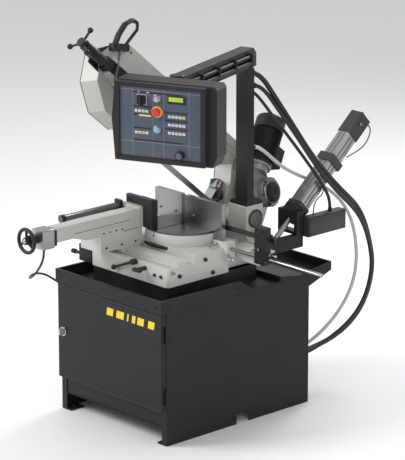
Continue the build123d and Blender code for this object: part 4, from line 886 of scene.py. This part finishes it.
addTube("handleRod", [tuple(rodTop), tuple(rodTop.lerp(rodFoot, 0.5)), tuple(rodFoot),
                      tuple(rodFoot - bowAlong * 0.012 - bowOut * 0.012),
                      tuple(rodFoot - bowAlong * 0.055 - bowOut * 0.03)], 0.0055, "head", "tubeSteel",
        "dark_steel")
strap = [(0.995, 0.262), (0.991, 0.33), (0.972, 0.4), (0.935, 0.446), (0.905, 0.452)]
bm = bmesh.new()
previous = None
for i in range(25):
    t = i / 24 * (len(strap) - 1)
    k = min(int(t), len(strap) - 2)
    f = t - k
    x, y = [strap[k][d] * (1 - f) + strap[k + 1][d] * f for d in (0, 1)]
    tx, ty = strap[k + 1][0] - strap[k][0], strap[k + 1][1] - strap[k][1]
    size = hypot(tx, ty)
    sideX, sideY = ty / size, -tx / size
    swell = 0.006 + 0.004 * sin(pi * i / 24)
    ring = []
    for j in range(16):
        a = 2 * pi * j / 16
        u, v = swell * cos(a) * 1.1, 0.019 * sin(a)
        ring.append(bm.verts.new(bowPoint(x + sideX * u, y + sideY * u, 0.082 + v)))
    if previous:
        for j in range(16):
            bm.faces.new((previous[j], previous[(j + 1) % 16], ring[(j + 1) % 16], ring[j]))
    else:
        bm.faces.new(ring)
    previous = ring
bm.faces.new(previous)
finishPiece("handleGrip", bm, "head", "blackPlastic", "black_paint")
print("saw head dressed")

# ---- gearbox and motor ----
gear = {"along": -0.25, "across": 0.151, "out": 0.205, "motorAlong": -0.164, "motorOut": 0.148}
lathes("gearRing", [(0.05, 0.0), (0.0625, 0.0), (0.0655, 0.002), (0.0655, 0.0065), (0.0615, 0.0085),
                    (0.056, 0.0085), (0.054, 0.004), (0.05, 0.004)],
       [bowPlace(gear["along"], gear["across"], gear["out"] + 0.004)], "head", "brightSteel", "casting", 64)
lathes("gearCap", [(0.0, 0.0), (0.051, 0.0), (0.051, 0.008), (0.047, 0.0105), (0.024, 0.0105),
                   (0.022, 0.0085), (0, 0.0085)],
       [bowPlace(gear["along"], gear["across"], gear["out"] + 0.0105)], "head", "blackPlastic", "casting", 56)
capScrews("gearScrews",
          [bowPlace(gear["along"] + 0.0695 * cos(a), gear["across"] + 0.0695 * sin(a), gear["out"])
                         for a in [radians(20 + 60 * i) for i in range(6)]], "head", 0.005)
motorAt = place(bowOrigin + bowAlong * gear["motorAlong"] + bowOut * gear["motorOut"], bowOut, bowAlong,
                bowAcross)


def motorPlace(height, turn=0.0, radius=0.0):
    return motorAt @ shift(0, 0, height) @ spin(turn) @ shift(radius, 0, 0)


capScrews("motorScrews", [motorPlace(0.2781, radians(45 + 90 * i), 0.0625) for i in range(4)], "head", 0.005)
fanBm = bmesh.new()
for radius in (0.012, 0.024, 0.036, 0.048):
    addLathe(fanBm, [(radius - 0.002, 0.0), (radius + 0.002, 0.0), (radius + 0.0015, 0.0012),
                     (radius - 0.0015, 0.0012)], motorPlace(0.5299), 40)
for i in range(6):
    addBlock(fanBm, (0.04, 0.003, 0.0014), motorPlace(0.5303, radians(60 * i), 0.03), 0.0004, 1)
finishPiece("fanGrille", fanBm, "head", "charcoal", "black_paint")
lathes("fanBand", [(0.0762, 0.0), (0.0775, 0.001), (0.0775, 0.007), (0.0762, 0.008)], [motorPlace(0.4535)],
       "head", "blackFrame", "black_paint", 56)
terminal = place(bowPoint(gear["motorAlong"] - 0.1072, 0.3472, gear["motorOut"]),
                 bowAcross, bowOut, -bowAlong)
lidBm = bmesh.new()
addBlock(lidBm, (0.107, 0.099, 0.006), terminal @ shift(0, 0, 0.0005), 0.002)
finishPiece("terminalLid", lidBm, "head", "blackFrame", "black_paint")
capScrews("terminalScrews",
          [terminal @ shift(x, y, 0.0034) for x in (-0.045, 0.045) for y in (-0.041, 0.041)], "head", 0.0035)
print("gearbox and motor dressed")

# ---- blade teeth and guides ----
teeth = bmesh.new()
toothPitch, strandStart, strandEnd = 0.008, -0.098, 0.424
bladeDown = Vector((0, sin(raised), cos(raised))) * -1
count = int((strandEnd - strandStart) / toothPitch)
for i in range(count):
    along = strandStart + i * toothPitch
    lean = (-0.0004, 0.0004, 0)[i % 3]
    base = bowOrigin + bowAlong * along + bladeDown * 0.0132
    side = Vector((0.0004, 0, 0))
    tip = base + bladeDown * 0.0034 + bowAlong * 0.0006 + Vector((lean, 0, 0))
    corners = [teeth.verts.new(base - side), teeth.verts.new(base + side),
               teeth.verts.new(base + bowAlong * 0.0055 + side),
               teeth.verts.new(base + bowAlong * 0.0055 - side), teeth.verts.new(tip - side),
               teeth.verts.new(tip + side)]
    for face in ((0, 1, 5, 4), (2, 3, 4, 5), (1, 2, 5), (3, 0, 4), (3, 2, 1, 0)):
        teeth.faces.new([corners[k] for k in face])
finishPiece("bladeTeeth", teeth, "head", "bladeSteel", "steel", smooth=False)


def cutPlace(along, high, side):
    origin = bowOrigin + bowAlong * along - bladeDown * high + Vector((side, 0, 0))
    return place(origin, bowAlong, -bladeDown, bowAlong.cross(-bladeDown))


capScrews("rearGuideScrews",
        [facing(cutPlace(x, h, 0.0302).translation, toRight) for x in (-0.072, -0.042)
         for h in (0.02, 0.06)], "head", 0.005)
capScrews("frontGuideScrews",
          [facing(cutPlace(x, h, 0.0252).translation, toRight) for x in (0.33, 0.4) for h in (0.015, 0.045)],
          "front_guide", 0.005)
lathes("guideKnob", [(0.0, 0.0), (0.006, 0.0), (0.006, 0.012), (0.016, 0.015), (0.017, 0.026), (0.013, 0.03),
                     (0, 0.031)],
       [facing(cutPlace(-0.056, 0.042, 0.0302).translation, toRight)], "head", *plastic, 28)
tapAt = cutPlace(-0.05, 0.081, 0.012).translation
lathes("tapBody", [(0.0, 0.0), (0.009, 0.0), (0.009, 0.014), (0.006, 0.017), (0.006, 0.028), (0.008, 0.03),
                   (0.008, 0.036), (0, 0.037)],
       [facing(tapAt, -bladeDown)], "head", *steel, 24)
blocks("tapLever", [((0.034, 0.009, 0.005),
                     place(tapAt - bladeDown * 0.04, bowAlong, Vector((1, 0, 0)), -bladeDown))], "head",
       "stopRed", "red_plastic", 0.002)
print("blade and guides dressed")

# ---- feed cylinder ----
capScrews("capScrews",
        [feedPlace(0.7902, x, h) @ spin(pi, "X") for x in (-0.029, 0.029) for h in (-0.031, 0.031)],
          "swivel", 0.005)
# charcoal strips on the barrel's side are painted shade: they stand in for the shade inside its two grooves,
# which are not cut
grooveShade = bmesh.new()
for h in (0.0145, -0.0145):
    addBlock(grooveShade, (0.0012, 0.0016, 0.428), feedPlace(0.4322, 0.0376, h), 0.0004, 1)
finishPiece("barrelGrooveShade", grooveShade, "swivel", "charcoal", "aluminium")
lathes("capFitting", [(0.0, 0.0), (0.008, 0.0), (0.008, 0.006), (0.0055, 0.008), (0.0055, 0.016), (0, 0.017)],
       [facing(feedPlace(0.74, 0.0402, 0.01).translation, toRight)], "swivel", *steel, 22)
lathes("leverKnob", [(0.0, 0.0), (0.006, 0.0), (0.008, 0.004), (0.009, 0.012), (0.006, 0.018), (0, 0.019)],
       [feedPlace(0.537, 0, -0.062) @ spin(pi, "X")], "swivel", *plastic, 22)
airFeed = [feedPlace(s, x, h).translation for s, x, h in
           ((0.74, 0.057, 0.01), (0.755, 0.078, 0.006), (0.735, 0.094, -0.03), (0.66, 0.088, -0.055),
            (0.6, 0.06, -0.05), (0.56, 0.044, -0.0385))]
airTube, airLine = addHose("airTube", airFeed, 0.003, *rubber, 10)
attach(airTube, "swivel")
boxAir = [Vector(p) for p in ((0.335, 0.56, 0.9571), (0.335, 0.562, 1.0), (0.338, 0.585, 1.035),
        (0.336, 0.62, 1.045), (0.327, 0.642, 1.07),
                              (0.3176, 0.648, 1.09))]
boxTube, boxLine = addHose("boxTube", boxAir, 0.003, *rubber, 10)
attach(boxTube, "swivel")
valve = {"y": (0.4902, 0.752), "z": (0.857, 0.957)}
midY, midZ = sum(valve["y"]) / 2, sum(valve["z"]) / 2
blocks("valveLid", [((0.003, 0.25, 0.088), shift(0.3762, midY, midZ))], "swivel", "charcoal",
       "black_plastic", 0.0012)
capScrews("valveScrews", [facing((0.3777, y, z), toRight) for y in (0.506, 0.736) for z in (0.87, 0.944)],
          "swivel", 0.0035)
print("feed cylinder dressed")

# ---- length stop ----
lathes("stopLever", lockProfile,
        [facing((0.531, -0.0052, 0.93), (0.2, -1, 0.1)), facing((0.5662, 0.02, 0.905), (1, -0.2, 0.1))],
       "stop_clamp",
       "brightSteel", "steel", 24)
capScrews("stopScrews", [facing((x, -0.0052, z), toFront) for x in (0.507, 0.554) for z in (0.865, 1.02)],
          "stop_clamp", 0.005)
print("length stop dressed")

# ---- cabinet, tray and door ----
signBm = bmesh.new()
for x, width in ((0.02, 0.052), (0.094, 0.06), (0.15, 0.016), (0.192, 0.03), (0.242, 0.052), (0.318, 0.05)):
    half = width / 2
    addPrism(signBm, [(-half, -0.019), (half - 0.006, -0.019), (half, 0.019), (-half + 0.006, 0.019)], 0.0008,
             place(Vector((x, -0.5171, 0.607)), Vector((1, 0, 0)), up, Vector((0, -1, 0))))
finishPiece("doorBlocks", signBm, "door", "signYellow", "black_paint", smooth=False)
hemBm = bmesh.new()
addBlock(hemBm, (0.772, 0.012, 0.003), shift(0, -0.509, 0.7365), 0.001)
addBlock(hemBm, (0.772, 0.012, 0.003), shift(0, 0.633, 0.7075), 0.001)
for side in (-1, 1):
    addBlock(hemBm, (0.012, 0.5, 0.003), shift(side * 0.38, -0.258, 0.7345) @ spin(radians(-0.44), "X"),
             0.001)
finishPiece("trayHems", hemBm, "base", "blackPowder", "black_paint")
capScrews("traySideScrews",
        [facing((0.3881, y, 0.7), toRight) for y in (-0.46, 0.0)] + [facing((x, -0.5171, 0.7), toFront)
                for x in (-0.35, 0.35)],
          "base", 0.004)
capScrews("footBolts", [facing((x, y, 0.008), up) for x in (-0.35, 0.35) for y in (-0.44, 0.44)], "base",
          0.008)
lathes("latchPlate", [(0.0175, 0.0), (0.024, 0.0), (0.024, 0.002), (0.0225, 0.003), (0.0175, 0.003)],
       [facing((-0.336, -0.517, 0.423), toFront)], "door", *steel, 32)
seamBm = bmesh.new()
for z in (0.185, 0.664):
    addBlock(seamBm, (0.748, 0.0012, 0.002), shift(0.008, -0.5172, z), 0.0003, 1)
finishPiece("doorSeams", seamBm, "door", "charcoal", "black_paint")
print("cabinet dressed")
